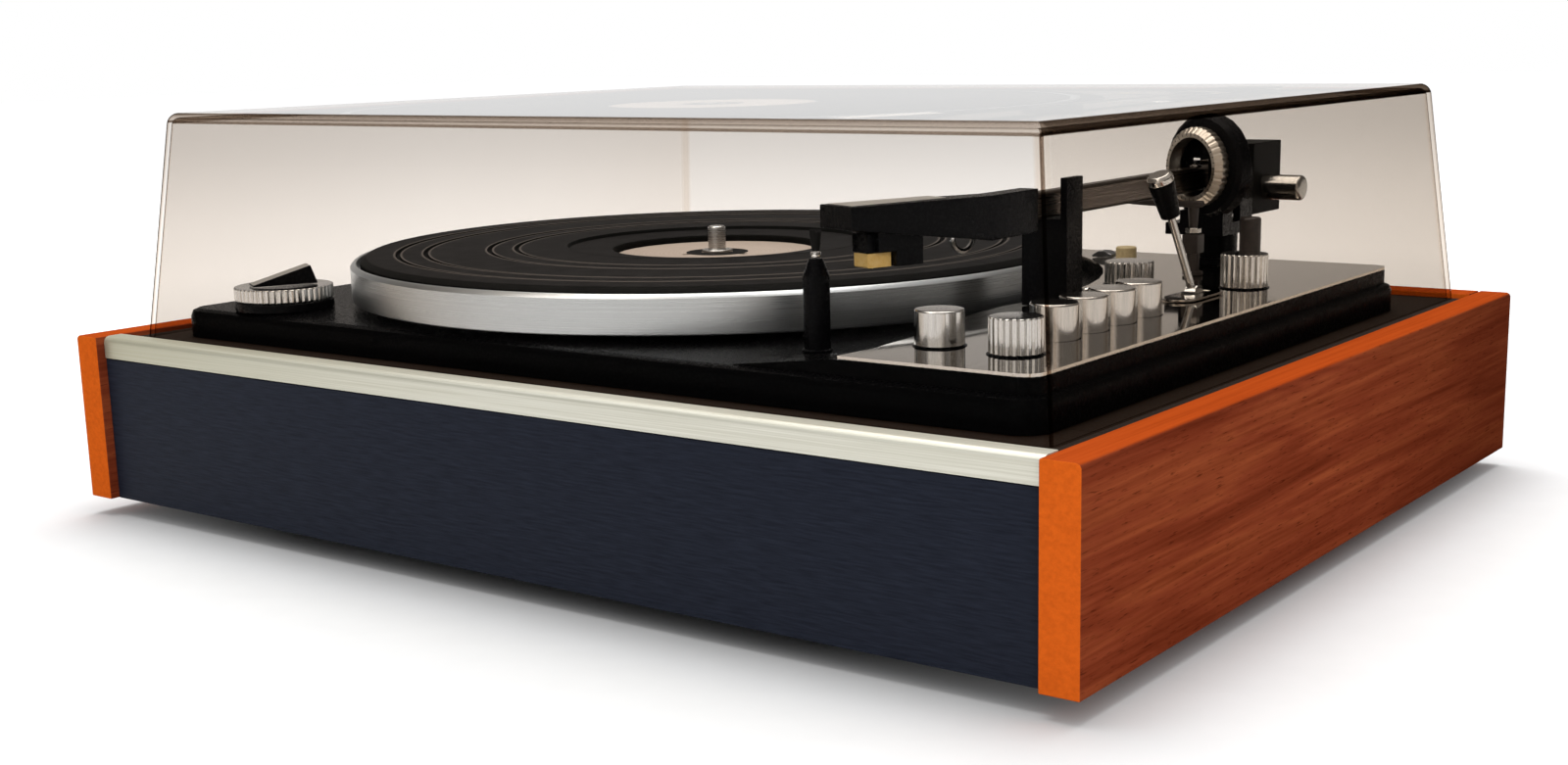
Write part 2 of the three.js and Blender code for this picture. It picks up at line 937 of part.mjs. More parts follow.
{
  const floor = matFloor + seatGap;
  const band = matTop - matBandStep;
  const innerTop = floor + matInnerThickness;
  const grooves = matGrooveRadii.flatMap((radius) => [
    [radius + matGrooveWidth / 2, matTop],
    [radius, matTop - matGrooveDepth],
    [radius - matGrooveWidth / 2, matTop],
  ]);
  const inward = [];
  for (let i = grooves.length - 3; i >= 0; i -= 3) {
    inward.push(grooves[i], grooves[i + 1], grooves[i + 2]);
  }
  const mat = turnedRing(
    [
      [matInnerRadius, floor],
      [matOuterRadius, floor],
      [matOuterRadius, band - matBandStep],
      [matOuterRadius - 2 * matBandStep, band],
      [matBandInner + matBandStep, band],
      [matBandInner, matTop],
      ...inward,
      [matStepRadius + matRibWidth + matBandStep, matTop],
      [matStepRadius + matRibWidth, matTop + matRibRise],
      [matStepRadius + matRibRise, matTop + matRibRise],
      [matStepRadius, matTop],
      [matStepRadius, innerTop],
      [matInnerRadius, innerTop],
    ],
    platterSegments,
  );
  place("platter_mat", moved(mat, platterX, platterY), matRubber);
}

{
  const bottom = matFloor + seatGap;
  const disc = turnedRing(
    [
      [spindleRadius + seatGap, bottom],
      [discRadius, bottom],
      [discRadius, bottom + discThickness],
      [spindleRadius + seatGap, bottom + discThickness],
    ],
    platterSegments / 2,
  );
  const slots = Array.from({ length: discSlots }, (_, i) => {
    const slot = box(discSlotInner, discSlotOuter, -discSlotWidth / 2, discSlotWidth / 2, 0, matTop);
    slot.rotateZ((i * 2 * Math.PI) / discSlots);
    return slot;
  });
  place("centre_disc", moved(cut(disc, ...slots), platterX, platterY), discAluminium);
}

{
  const flange = matFloor + 2 * seatGap + discThickness;
  const tip = spindleRadius / 4;
  const spindle = turned([
    [0, spindleBottom],
    [spindleRadius, spindleBottom],
    [spindleRadius, flange],
    [spindleFlangeRadius, flange],
    [spindleFlangeRadius, flange + spindleFlangeThickness],
    [spindleRadius, flange + spindleFlangeThickness],
    [spindleRadius, spindleTop - tip],
    [spindleRadius - tip, spindleTop],
    [0, spindleTop],
  ]);
  place("spindle", moved(spindle, platterX, platterY), polishedSteel);
}

{
  const flange = deckTop + seatGap;
  const bearing = turned([
    [0, bearingBottom],
    [bearingRadius, bearingBottom],
    [bearingRadius, flange],
    [bearingFlangeRadius, flange],
    [bearingFlangeRadius, flange + bearingFlangeThickness],
    [spindleRadius + seatGap, flange + bearingFlangeThickness],
    [spindleRadius + seatGap, spindleBottom - seatGap],
    [0, spindleBottom - seatGap],
  ]);
  place("main_bearing", moved(bearing, platterX, platterY), motorSteel);
}

// Drive under the platter

{
  const top = idlerBottom + idlerThickness;
  const edge = idlerThickness / 5;
  const wheel = turned([
    [0, idlerShaftBottom],
    [idlerShaftRadius, idlerShaftBottom],
    [idlerShaftRadius, idlerBottom],
    [idlerRadius - edge, idlerBottom],
    [idlerRadius, idlerBottom + edge],
    [idlerRadius, top - edge],
    [idlerRadius - edge, top],
    [0, top],
  ]);
  place("idler_wheel", moved(wheel, idlerX, idlerY), footRubber);
  const pulley = turned([
    [0, motorTop - motorEdge],
    [pulleyShaftRadius, motorTop - motorEdge],
    [pulleyShaftRadius, idlerBottom - seatGap],
    [pulleyRadius, idlerBottom - seatGap],
    [pulleyRadius, pulleyTop],
    [0, pulleyTop],
  ]);
  place("motor_pulley", moved(pulley, pulleyX, pulleyY), polishedSteel);
}

{
  const can = turned([
    [0, motorTop - motorHeight],
    [motorRadius - motorEdge, motorTop - motorHeight],
    [motorRadius, motorTop - motorHeight + motorEdge],
    [motorRadius, motorTop - motorEdge / 2],
    [motorRadius - motorEdge / 2, motorTop],
    [0, motorTop],
  ]);
  const underside = deckTop - deckSheet - seatGap;
  const posts = Array.from({ length: motorPosts }, (_, i) => {
    const angle = pulleyBearing + (i * 2 * Math.PI) / motorPosts;
    return moved(
      cylinder(motorPostRadius, motorTop - motorEdge, underside, 12),
      motorPostCircle * Math.cos(angle),
      motorPostCircle * Math.sin(angle),
    );
  });
  const arm = box(
    -pulleyReach - idlerBracketWidth / 2,
    0,
    -idlerBracketWidth / 2,
    idlerBracketWidth / 2,
    motorTop - idlerBracketThickness,
    motorTop,
  );
  arm.rotateZ(pulleyBearing);
  const boss = moved(
    cylinder(idlerBracketWidth / 2, motorTop - idlerBracketThickness, underside - idlerBracketThickness),
    idlerX - pulleyX,
    idlerY - pulleyY,
  );
  const bore = moved(
    cylinder(idlerShaftRadius + seatGap, idlerShaftBottom - seatGap, plinthHeight * 2),
    idlerX - pulleyX,
    idlerY - pulleyY,
  );
  const shaftBore = cylinder(
    pulleyShaftRadius + seatGap,
    motorTop - motorEdge - seatGap,
    plinthHeight * 2,
  );
  const motor = cut(join(can, ...posts, arm, boss), bore, shaftBore);
  place("motor", moved(motor, pulleyX, pulleyY), motorSteel);
}

// Speed selector

{
  const bottom = deckTop + seatGap;
  const baseTop = bottom + speedBaseHeight;
  const ringTop = baseTop + seatGap + speedRingHeight;
  const base = turned([
    [0, deckTop - deckSheet],
    [speedShaftRadius, deckTop - deckSheet],
    [speedShaftRadius, bottom],
    [speedRadius, bottom],
    [speedRadius, baseTop],
    [0, baseTop],
  ]);
  place("speed_base", moved(base, speedX, speedY), blackPlastic);
  const ring = fluted(
    speedRadius,
    speedFluteDepth,
    speedFlutes,
    baseTop + seatGap,
    ringTop,
  );
  place("speed_ring", moved(ring, speedX, speedY), knobAluminium);
  const half = pointerLength / 2;
  const foot = ringTop + seatGap;
  const wedge = drawnAcross(
    [
      [-half, foot],
      [half, foot],
      [half - pointerTipSlope, foot + pointerHeight],
      [-half, foot + pointerLowHeight],
    ],
    -pointerWidth / 2,
    pointerWidth / 2,
  );
  wedge.rotateZ(pointerAxis - quarterTurn);
  place("speed_pointer", moved(wedge, speedX, speedY), blackPlastic);
}

// Knobs and buttons

function shaftUnder(bottom) {
  return cylinder(knobShaftRadius, bottom - knobShaftDepth, bottom + knobShaftRoot, 16);
}

for (const [name, x, y, radius, top] of [
  ["knob_front", frontKnobX, frontKnobY, frontKnobRadius, knobTop],
  ["knob_inner", innerKnobX, innerKnobY, innerKnobRadius, innerKnobTop],
  ["knob_rear", rearKnobX, rearKnobY, rearKnobRadius, rearKnobTop],
]) {
  const head = fluted(radius, knobFluteDepth, knobFlutes, knobBottom, top);
  place(name, moved(join(head, shaftUnder(knobBottom)), x, y), knobAluminium);
}

{
  const head = turned([
    [0, knobBottom],
    [plainKnobRadius, knobBottom],
    [plainKnobRadius, knobTop - buttonEdge],
    [plainKnobRadius - buttonEdge, knobTop],
    [0, knobTop],
  ]);
  const knob = join(head, shaftUnder(knobBottom));
  place("knob_plain", moved(knob, plainKnobX, plainKnobY), knobAluminium);
}

buttonPlaces.forEach(([x, y], i) => {
  const bottom = raisedTop - deckSheet - seatGap;
  const button = turned([
    [0, bottom - buttonFlange],
    [buttonRadius + buttonFlange / 2, bottom - buttonFlange],
    [buttonRadius + buttonFlange / 2, bottom],
    [buttonRadius, bottom],
    [buttonRadius, knobTop - buttonEdge],
    [buttonRadius - buttonEdge, knobTop],
    [0, knobTop],
  ]);
  place("push_button_" + (i + 1), moved(button, x, y), knobAluminium);
});

// Cue lever: it leans forward from a drum in the slot

{
  const halfPlate = cuePlateWidth / 2;
  const bottom = plateTop + seatGap;
  const plate = upright(
    roundedRectangle(
      cueX - halfPlate + cueDrumWidth / 4,
      cueX + halfPlate + cueDrumWidth / 4,
      cuePlateFront,
      cuePlateRear,
      halfPlate - runningGap,
    ),
    bottom,
    bottom + cuePlateSheet,
  );
  const slot = box(
    cueX - cueDrumWidth / 2 - runningGap,
    cueX + cueDrumWidth / 2 + runningGap,
    cueY - 2 * cueDrumRadius,
    cueY + 2 * cueDrumRadius,
    0,
    2 * plateTop,
  );
  place("cue_slot_plate", cut(plate, slot), brightPlate);

  const root = new THREE.Vector3(cueX, cueY, plateTop);
  const cap = new THREE.Vector3(cueTopX, cueTopY, cueCapTop);
  const along = cap.clone().sub(root);
  const length = along.length();
  const perHeight = length / (cueCapTop - plateTop);
  const turn = new THREE.Quaternion().setFromUnitVectors(
    new THREE.Vector3(0, 0, 1),
    along.clone().normalize(),
  );
  const lean = (geometry) => {
    geometry.applyQuaternion(turn);
    return moved(geometry, root.x, root.y, root.z);
  };
  const gripBottom = (cueGripBottom - plateTop) * perHeight;
  const gripTop = (cueGripTop - plateTop) * perHeight;
  const drum = laidAlong(cylinder(cueDrumRadius, -cueDrumWidth / 2, cueDrumWidth / 2, 20), 0);
  const stem = lean(cylinder(cueStemRadius, 0, gripBottom + cueStemRadius, 12));
  place("cue_lever", join(moved(drum, root.x, root.y, root.z), stem), polishedSteel);
  const grip = cut(
    lean(
      turned(
        [
          [0, gripBottom],
          [cueGripBottomRadius, gripBottom],
          [cueGripTopRadius, gripTop],
          [0, gripTop],
        ],
        20,
      ),
    ),
    lean(cylinder(cueStemRadius + seatGap, 0, gripBottom + cueStemRadius + seatGap, 12)),
  );
  place("cue_grip", grip, blackPlastic);
  const capEdge = cueGripTopRadius / 4;
  const silver = lean(
    turned(
      [
        [0, gripTop + seatGap],
        [cueGripTopRadius, gripTop + seatGap],
        [cueGripTopRadius, length - capEdge],
        [cueGripTopRadius - capEdge, length],
        [0, length],
      ],
      20,
    ),
  );
  place("cue_cap", silver, knobAluminium);
}

// Stylus brush

{
  const bottom = deckTop + seatGap;
  const post = turned(
    [
      [0, bottom],
      [brushCollarRadius, bottom],
      [brushCollarRadius, bottom + brushCollarHeight],
      [brushRadius, bottom + brushCollarHeight],
      [brushRadius, brushShoulder],
      [brushNeckRadius, brushNeckTop],
      [0, brushNeckTop],
    ],
    24,
  );
  place("brush_post", moved(post, brushX, brushY), blackPlastic);
  const ferrule = turned(
    [
      [0, brushNeckTop + seatGap],
      [brushFerruleRadius, brushNeckTop + seatGap],
      [brushFerruleRadius, brushFerruleTop],
      [0, brushFerruleTop],
    ],
    16,
  );
  place("brush_ferrule", moved(ferrule, brushX, brushY), knobAluminium);
}

// The tuft: fibres of three sides that fan out from a slice of their root. They stand in rings, each
// leaning outwards in step with its distance from the middle, so that none crosses another.
{
  const bottom = brushFerruleTop + seatGap;
  const base = cylinder(brushTuftRadius, bottom, bottom + brushTuftRoot, 24);
  const positions = [];
  const faces = [];
  const half = brushFibreWidth / 2;
  const addFibre = (x, y) => {
    const spread = 1 + brushTuftFlare;
    const start = positions.length / 3;
    for (const [scale, height] of [
      [1, bottom + brushTuftRoot / 2],
      [spread, brushTuftTop],
    ]) {
      for (let k = 0; k < fibreSides; k += 1) {
        const angle = (k * 2 * Math.PI) / fibreSides;
        positions.push(x * scale + half * Math.cos(angle), y * scale + half * Math.sin(angle), height);
      }
    }
    for (let k = 0; k < fibreSides; k += 1) {
      const a = start + k;
      const b = start + ((k + 1) % fibreSides);
      faces.push(a, b, b + fibreSides, a, b + fibreSides, a + fibreSides);
    }
    for (let k = 1; k + 1 < fibreSides; k += 1) {
      faces.push(start, start + k + 1, start + k);
      const top = start + fibreSides;
      faces.push(top, top + k, top + k + 1);
    }
  };
  const reach = brushTuftRadius - brushFibreWidth;
  for (let ring = 0; ring <= fibreRings; ring += 1) {
    const fibres = Math.max(1, Math.round(ring * fibresPerRing));
    for (let i = 0; i < fibres; i += 1) {
      const angle = ((i + (ring % 2) / 2) * 2 * Math.PI) / fibres;
      const radius = (reach * ring) / fibreRings;
      addFibre(radius * Math.cos(angle), radius * Math.sin(angle));
    }
  }
  const strands = new THREE.BufferGeometry();
  strands.setAttribute("position", new THREE.Float32BufferAttribute(positions, 3));
  strands.setIndex(faces);
  const tuft = join(base, strands);
  place("brush_bristles", moved(tuft, brushX, brushY), matRubber);
}

// Arm rest: a straight post with a ledge under the bar and a prong that stands outside it

{
  const bottom = plateTop + seatGap;
  const barBottom = pivotHeight - barHeight / 2;
  const ledge = barBottom - seatGap;
  const right = prongX + prongWidth;
  const left = right - restWidth;
  const post = drawnBack(
    [
      [left, bottom],
      [right, bottom],
      [right, prongTop],
      [prongX, prongTop],
      [prongX, ledge],
      [left, ledge],
    ],
    restFront,
    restFront + restDepth,
  );
  place("arm_rest", post, blackPlastic);
}

// Gimbal: the pillar, the frame that swings on it and the force dial in the frame's housing

{
  const bottom = plateTop + seatGap;
  const pillar = turned([
    [0, bottom],
    [pillarFlangeRadius, bottom],
    [pillarFlangeRadius, bottom + pillarFlangeHeight],
    [pillarRadius, bottom + pillarFlangeHeight],
    [pillarRadius, pillarTop],
    [pillarPinRadius, pillarTop],
    [pillarPinRadius, pillarTop + pillarPinHeight],
    [0, pillarTop + pillarPinHeight],
  ]);
  place("arm_pillar", moved(pillar, pivotX, pivotY), blackPlastic);
}

// Puts geometry made upright, its base at zero, behind the dial's face on the dial's axis.
function behindDial(geometry) {
  laidAlong(geometry, dialAxis);
  return moved(geometry, dialX, dialY, dialHeight);
}

{
  const base = pillarTop + seatGap;
  const baseTop = base + frameBaseHeight;
  const boreRadius = dialSpigotRadius + seatGap;
  const start = dialDepth + seatGap;
  const end = start + housingThickness;
  const housing = behindDial(
    turnedRing(
      [
        [boreRadius, start],
        [housingRadius - housingEdge, start],
        [housingRadius, start + housingEdge],
        [housingRadius, end - housingEdge],
        [housingRadius - housingEdge, end],
        [boreRadius, end],
      ],
      roundSegments,
    ),
  );
  const plate = box(
    pivotX - frameBaseWidth / 2,
    pivotX + frameBaseWidth / 2,
    pivotY - frameBaseFront,
    pivotY + pillarRadius,
    base,
    baseTop,
  );
  const neck = box(
    pivotX - frameBaseWidth / 4,
    pivotX + frameBaseWidth / 2,
    pivotY - frameBaseFront,
    pivotY - frameBaseFront + frameNeckDepth,
    base,
    baseTop + frameNeckRise,
  );
  const cheeks = [-1, 1].flatMap((side) => {
    const inner = side * cheekInner;
    const outer = side * (cheekInner + cheekThickness);
    const cheek = drawnAcross(
      [
        [pivotY - cheekFront, base],
        [pivotY + cheekRear, base],
        [pivotY + cheekRear, pivotHeight],
        [pivotY + cheekRear / 2, cheekTop],
        [pivotY - cheekRear / 2, cheekTop],
        [pivotY - cheekFront, pivotHeight],
      ],
      pivotX + Math.min(inner, outer),
      pivotX + Math.max(inner, outer),
    );
    const pin = laidAlong(
      cylinder(
        cheekPinRadius,
        Math.min(inner - side * cheekPinLength, outer),
        Math.max(inner - side * cheekPinLength, outer),
        16,
      ),
      0,
    );
    return [cheek, moved(pin, pivotX, pivotY, pivotHeight)];
  });
  const bore = moved(
    cylinder(pillarPinRadius + seatGap, pillarTop, baseTop + frameNeckRise),
    pivotX,
    pivotY,
  );
  place("gimbal_frame", cut(join(housing, plate, neck, ...cheeks), bore), blackPlastic);
}

{
  const rim = fluted(dialRadius, dialFluteDepth, dialFlutes, 0, dialDepth);
  const spigot = cylinder(dialSpigotRadius, dialDepth / 2, dialDepth + dialSpigotDepth);
  const opening = cylinder(dialOpening, -dialDepth, 2 * dialDepth);
  const relief = cylinder(dialSpigotInner, dialDepth, 2 * dialDepth);
  place("force_dial", behindDial(cut(join(rim, spigot), opening, relief)), dialSilver);
}

// Arm bar with its pivot block and tail

{
  const eased = (halfWidth, halfHeight, edge) => [
    [pivotX - halfWidth + edge, pivotHeight - halfHeight],
    [pivotX + halfWidth - edge, pivotHeight - halfHeight],
    [pivotX + halfWidth, pivotHeight - halfHeight + edge],
    [pivotX + halfWidth, pivotHeight + halfHeight - edge],
    [pivotX + halfWidth - edge, pivotHeight + halfHeight],
    [pivotX - halfWidth + edge, pivotHeight + halfHeight],
    [pivotX - halfWidth, pivotHeight + halfHeight - edge],
    [pivotX - halfWidth, pivotHeight - halfHeight + edge],
  ];
  const bar = drawnBack(eased(barWidth / 2, barHeight / 2, barEdge), barFrontY, pivotY);
  const stub = drawnBack(
    eased(barStubWidth / 2, barStubHeight / 2, barEdge),
    barStubFrontY,
    barFrontY + barEdge,
  );
  const block = drawnBack(
    eased(pivotBlockHalfWidth, pivotBlockHeight / 2, barEdge),
    pivotY - pivotBlockFront,
    pivotY + pivotBlockRear,
  );
  const tail = moved(
    laidAlong(cylinder(barTailRadius, 0, pivotBlockRear + barTailLength, 16), quarterTurn),
    pivotX,
    pivotY,
    pivotHeight,
  );
  const bearing = moved(
    laidAlong(cylinder(cheekPinRadius + seatGap, -plateSheet, plateSheet, 16), 0),
    pivotX,
    pivotY,
    pivotHeight,
  );
  bearing.translate(-pivotX, 0, 0);
  bearing.scale(pivotBlockHalfWidth * 2, 1, 1);
  bearing.translate(pivotX, 0, 0);
  const middle = box(
    pivotX - barWidth / 2,
    pivotX + barWidth / 2,
    pivotY - pivotBlockFront,
    pivotY + pivotBlockRear,
    pivotHeight - barHeight / 2,
    pivotHeight + barHeight / 2,
  );
  place("arm_bar", join(cut(join(bar, stub, block), bearing), middle, tail), armAluminium);
}

// Headshell: its plan outline crossed with its side profile, hollow below

const shellFrame = new THREE.Matrix4()
  .makeRotationZ(shellAxis)
  .setPosition(shellFrontX, shellFrontY, 0);

// Puts geometry, made along X from the headshell's front edge, on the headshell's axis.
function onShell(geometry) {
  geometry.applyMatrix4(shellFrame);
  return geometry;
}

// A profile in X and Z, drawn out to both sides of the headshell's axis.
function acrossShell(points, width) {
  return onShell(drawnBack(points, -width / 2, width / 2));
}

{
  const half = shellFrontWidth / 2;
  const near = new THREE.Vector3(0, -half, 0).applyMatrix4(shellFrame);
  const far = new THREE.Vector3(0, half, 0).applyMatrix4(shellFrame);
  const slope = Math.tan(shellAxis);
  const elbowY = near.y + (shellTailNearX - near.x) * slope;
  const tail = shellTailRearY;
  const bottom = shellTop - shellRearHeight;
  const plan = upright(
    shapeOf([
      [near.x, near.y],
      [shellTailNearX, elbowY],
      [shellTailNearX, tail],
      [shellTailFarX, tail],
      [shellElbowFarX, shellElbowFarY],
      [far.x, far.y],
    ]),
    bottom - shellRoof,
    shellTop,
  );
  const side = acrossShell(
    [
      [-shellWall, shellTop + shellWall],
      [-shellWall, shellTop - shellFrontHeight],
      [0, shellTop - shellFrontHeight],
      [shellLength, bottom],
      [2 * shellLength, bottom],
      [2 * shellLength, shellTop + shellWall],
    ],
    4 * shellFrontWidth,
  );
  const pocketHalf = half - shellWall;
  const pocket = onShell(
    box(
      shellPocketFront,
      shellPocketRear,
      -pocketHalf,
      pocketHalf,
      bottom - shellRoof,
      shellTop - shellRoof,
    ),
  );
  const socket = box(
    pivotX - barStubWidth / 2 - seatGap,
    pivotX + barStubWidth / 2 + seatGap,
    barStubFrontY - seatGap,
    tail + seatGap,
    pivotHeight - barStubHeight / 2 - seatGap,
    pivotHeight + barStubHeight / 2 + seatGap,
  );
  place("headshell", cut(common(plan, side), pocket, socket), blackPlastic);
}

// Cartridge, stylus holder and the wire loop behind them

{
  const top = shellTop - shellRoof - seatGap;
  const body = acrossShell(
    [
      [cartridgeFront, cartridgeStepHeight],
      [cartridgeStep, cartridgeStepHeight],
      [cartridgeStep, cartridgeBottom],
      [cartridgeRear, cartridgeBottom],
      [cartridgeRear, top],
      [cartridgeFront, top],
    ],
    cartridgeWidth,
  );
  const noseTop = (cartridgeStepHeight + top) / 2;
  const nose = acrossShell(
    [
      [cartridgeNose, cartridgeStepHeight],
      [cartridgeStep, cartridgeStepHeight],
      [cartridgeStep, noseTop],
      [cartridgeNose, noseTop],
    ],
    cartridgeNoseWidth,
  );
  place("cartridge", join(body, nose), blackPlastic);

  const holder = acrossShell(
    [
      [stylusFront, stylusBottom + stylusTipRadius],
      [stylusFront + stylusTipRadius, stylusBottom],
      [stylusRear, stylusBottom],
      [stylusRear, stylusTop],
      [stylusFront, stylusTop],
    ],
    stylusWidth,
  );
  const tip = onShell(
    moved(
      turned(
        [
          [0, stylusTipBottom],
          [stylusTipRadius, stylusBottom],
          [stylusTipRadius, stylusBottom + stylusTipRadius],
          [0, stylusBottom + stylusTipRadius],
        ],
        8,
      ),
      stylusTipAt,
      0,
    ),
  );
  place("stylus_holder", join(holder, tip), stylusGold);
}

{
  const wireTop = shellTop - shellRoof - seatGap;
  const bendHeight = shellTop - shellRearHeight - loopWire + loopRadius - loopDrop / 2;
  const bendPoints = [];
  for (let i = 0; i <= loopSteps; i += 1) {
    const angle = Math.PI * (1 + i / loopSteps);
    bendPoints.push([
      loopCentre + loopRadius * Math.cos(angle),
      bendHeight + loopRadius * Math.sin(angle),
    ]);
  }
  const points = [
    [loopCentre - loopRadius, wireTop],
    ...bendPoints,
    [loopCentre + loopRadius, wireTop],
  ].map(([along, height]) => new THREE.Vector3(along, -loopOffset, height));
  const path = new THREE.CurvePath();
  for (let i = 1; i < points.length; i += 1) {
    path.add(new THREE.LineCurve3(points[i - 1], points[i]));
  }
  const section = new THREE.Shape();
  section.absarc(0, 0, loopWire, 0, 2 * Math.PI, false);
  const wire = new THREE.ExtrudeGeometry(section, {
    steps: 22,
    curveSegments: 3,
    extrudePath: path,
    bevelEnabled: false,
  });
  place("headshell_latch", onShell(wire), polishedSteel);
}

// Counterweight and its thumb screw

{
  const weight = box(
    pivotX - weightHalfWidth,
    pivotX + weightHalfWidth,
    pivotY + weightFront,
    pivotY + weightRear,
    weightBottom,
    weightTop,
  );
  const bore = moved(
    laidAlong(
      cylinder(
        barTailRadius + seatGap,
        weightFront - seatGap,
        pivotBlockRear + barTailLength + seatGap,
        16,
      ),
      quarterTurn,
    ),
    pivotX,
    pivotY,
    pivotHeight,
  );
  const screwY = pivotY + thumbAt;
  const screwBore = moved(
    laidAlong(
      cylinder(
        thumbShankRadius + seatGap,
        weightHalfWidth - thumbShankLength - seatGap,
        2 * weightHalfWidth,
        16,
      ),
      0,
    ),
    pivotX,
    screwY,
    thumbHeight,
  );
  place("counterweight", cut(weight, bore, screwBore), blackPlastic);
  const head = weightHalfWidth + seatGap;
  const screw = laidAlong(
    turned(
      [
        [0, weightHalfWidth - thumbShankLength],
        [thumbShankRadius, weightHalfWidth - thumbShankLength],
        [thumbShankRadius, head],
        [thumbRadius, head],
        [thumbRadius, head + thumbLength - thumbEdge],
        [thumbRadius - thumbEdge, head + thumbLength],
        [0, head + thumbLength],
      ],
      24,
    ),
    0,
  );
  place("thumb_screw", moved(screw, pivotX, screwY, thumbHeight), polishedSteel);
}

// Cueing lift: a block with a pin that carries an arc under the bar's path

{
  const bottom = plateTop + seatGap;
  const x = pivotX + liftRadius * Math.sin(liftPinTurn);
  const y = pivotY - liftRadius * Math.cos(liftPinTurn);
  const block = box(
    x - liftBlockWidth / 2,
    x + liftBlockWidth / 2,
    y - liftBlockDepth / 2,
    y + liftBlockDepth / 2,
    bottom,
    liftBlockTop,
  );
  const bore = moved(
    cylinder(liftPinRadius + seatGap, liftBlockTop - liftPinDepth - seatGap, 2 * liftBlockTop, 16),
    x,
    y,
  );
  place("lift_block", cut(block, bore), liftGrey);

  const arc = new THREE.Shape();
  const outer = liftRadius + liftWidth / 2;
  const inner = liftRadius - liftWidth / 2;
  const start = -quarterTurn + liftPinTurn + liftWidth / liftRadius / 1.4;
  const end = -quarterTurn - liftSweep;
  arc.absarc(0, 0, inner, end, start, false);
  arc.absarc(0, 0, outer, start, end, true);
  const rail = moved(upright(arc, liftTop - liftSheet, liftTop), pivotX, pivotY);
  const pin = moved(
    cylinder(liftPinRadius, liftBlockTop - liftPinDepth, liftTop - liftSheet / 2, 16),
    x,
    y,
  );
  place("lift_rail", join(rail, pin), polishedSteel);
}

{
  const damper = turned(
    [
      [0, plateTop + seatGap],
      [damperRadius, plateTop + seatGap],
      [damperRadius, damperTop - damperEdge],
      [damperRadius - damperEdge, damperTop],
      [0, damperTop],
    ],
    24,
  );
  place("damper_post", moved(damper, damperX, damperY), liftGrey);
}

// Rear transit screw and its clip

{
  const bottom = plateTop + seatGap;
  const screw = cylinder(transitRadius, bottom, bottom + transitHeight, 20);
  place("transit_screw", moved(screw, transitX, transitY), creamPlastic);
  const right = transitX - transitRadius - clipGap;
  const clip = drawnBack(
    [
      [right - clipLength, bottom],
      [right, bottom],
      [right, bottom + clipHeight / 2],
      [right - clipLength / 3, bottom + clipHeight],
      [right - (2 * clipLength) / 3, bottom + clipHeight],
      [right - clipLength, bottom + clipHeight / 3],
    ],
    transitY - clipWidth / 2,
    transitY + clipWidth / 2,
  );
  place("transit_clip", clip, motorSteel);
}

// The whole stands on its feet, its origin below the plinth's middle
plinthFrame.position.set(0, -plinthDepth / 2, footHeight);
const recordChanger = new THREE.Group();
recordChanger.name = "record_changer";
recordChanger.add(plinthFrame);

export default recordChanger;
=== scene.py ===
"""A record changer in a veneered plinth under its clear dust cover, dressed for the camera.

Lengths in the tables are millimetres from the plinth's front edge, middle and lower edge; point()
turns them into the scene's metres.
"""

import math

import bpy
from mathutils import Euler, Matrix, Vector


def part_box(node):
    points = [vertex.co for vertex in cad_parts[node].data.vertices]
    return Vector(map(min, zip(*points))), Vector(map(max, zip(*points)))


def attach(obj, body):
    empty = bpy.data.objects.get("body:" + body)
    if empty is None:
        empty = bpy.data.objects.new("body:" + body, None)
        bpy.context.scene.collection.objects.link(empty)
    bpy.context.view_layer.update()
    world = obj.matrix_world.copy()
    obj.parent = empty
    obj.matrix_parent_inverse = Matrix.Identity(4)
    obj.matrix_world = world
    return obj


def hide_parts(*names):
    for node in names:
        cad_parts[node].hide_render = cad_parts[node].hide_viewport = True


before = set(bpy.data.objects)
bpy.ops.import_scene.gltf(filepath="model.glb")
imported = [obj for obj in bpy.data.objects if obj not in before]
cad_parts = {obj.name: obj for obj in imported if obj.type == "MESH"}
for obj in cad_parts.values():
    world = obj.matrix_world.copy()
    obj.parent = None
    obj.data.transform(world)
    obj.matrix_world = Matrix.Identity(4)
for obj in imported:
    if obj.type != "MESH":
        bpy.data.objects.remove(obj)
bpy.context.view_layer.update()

MM = 0.001
HALF_DEPTH = 181.0
FOOT_HEIGHT = 7.0
FULL_TURN = 2 * math.pi


def point(x, y, z):
    """A place in metres, from millimetres on the plinth."""
    return Vector((x, y - HALF_DEPTH, z + FOOT_HEIGHT)) * MM


# Materials


def linear(colour):
    """A hex sRGB colour as linear red, green, blue and alpha."""
    parts = [int(colour[i : i + 2], 16) / 255 for i in (1, 3, 5)]
    return tuple(
        part / 12.92 if part <= 0.04045 else ((part + 0.055) / 1.055) ** 2.4
        for part in parts
    ) + (1.0,)


def add(tree, kind, inputs=None, stops=(), out=0, **settings):
    """Adds a node and gives back its output called out, or all its outputs where out is None.

    An input that is a socket is linked, a hex colour is made linear, and the rest is set. A Mix
    node's colours are its inputs 6 and 7, and their blend is its output 2.
    """
    made = tree.nodes.new("ShaderNode" + kind)
    for key, value in settings.items():
        setattr(made, key, value)
    for key, value in (inputs or {}).items():
        if isinstance(value, bpy.types.NodeSocket):
            tree.links.new(value, made.inputs[key])
        else:
            colour = isinstance(value, str)
            made.inputs[key].default_value = linear(value) if colour else value
    while stops and len(made.color_ramp.elements) < len(stops):
        made.color_ramp.elements.new(0.5)
    for index, (position, colour) in enumerate(stops):
        made.color_ramp.elements[index].position = position
        made.color_ramp.elements[index].color = linear(colour)
    return made.outputs if out is None else made.outputs[out]


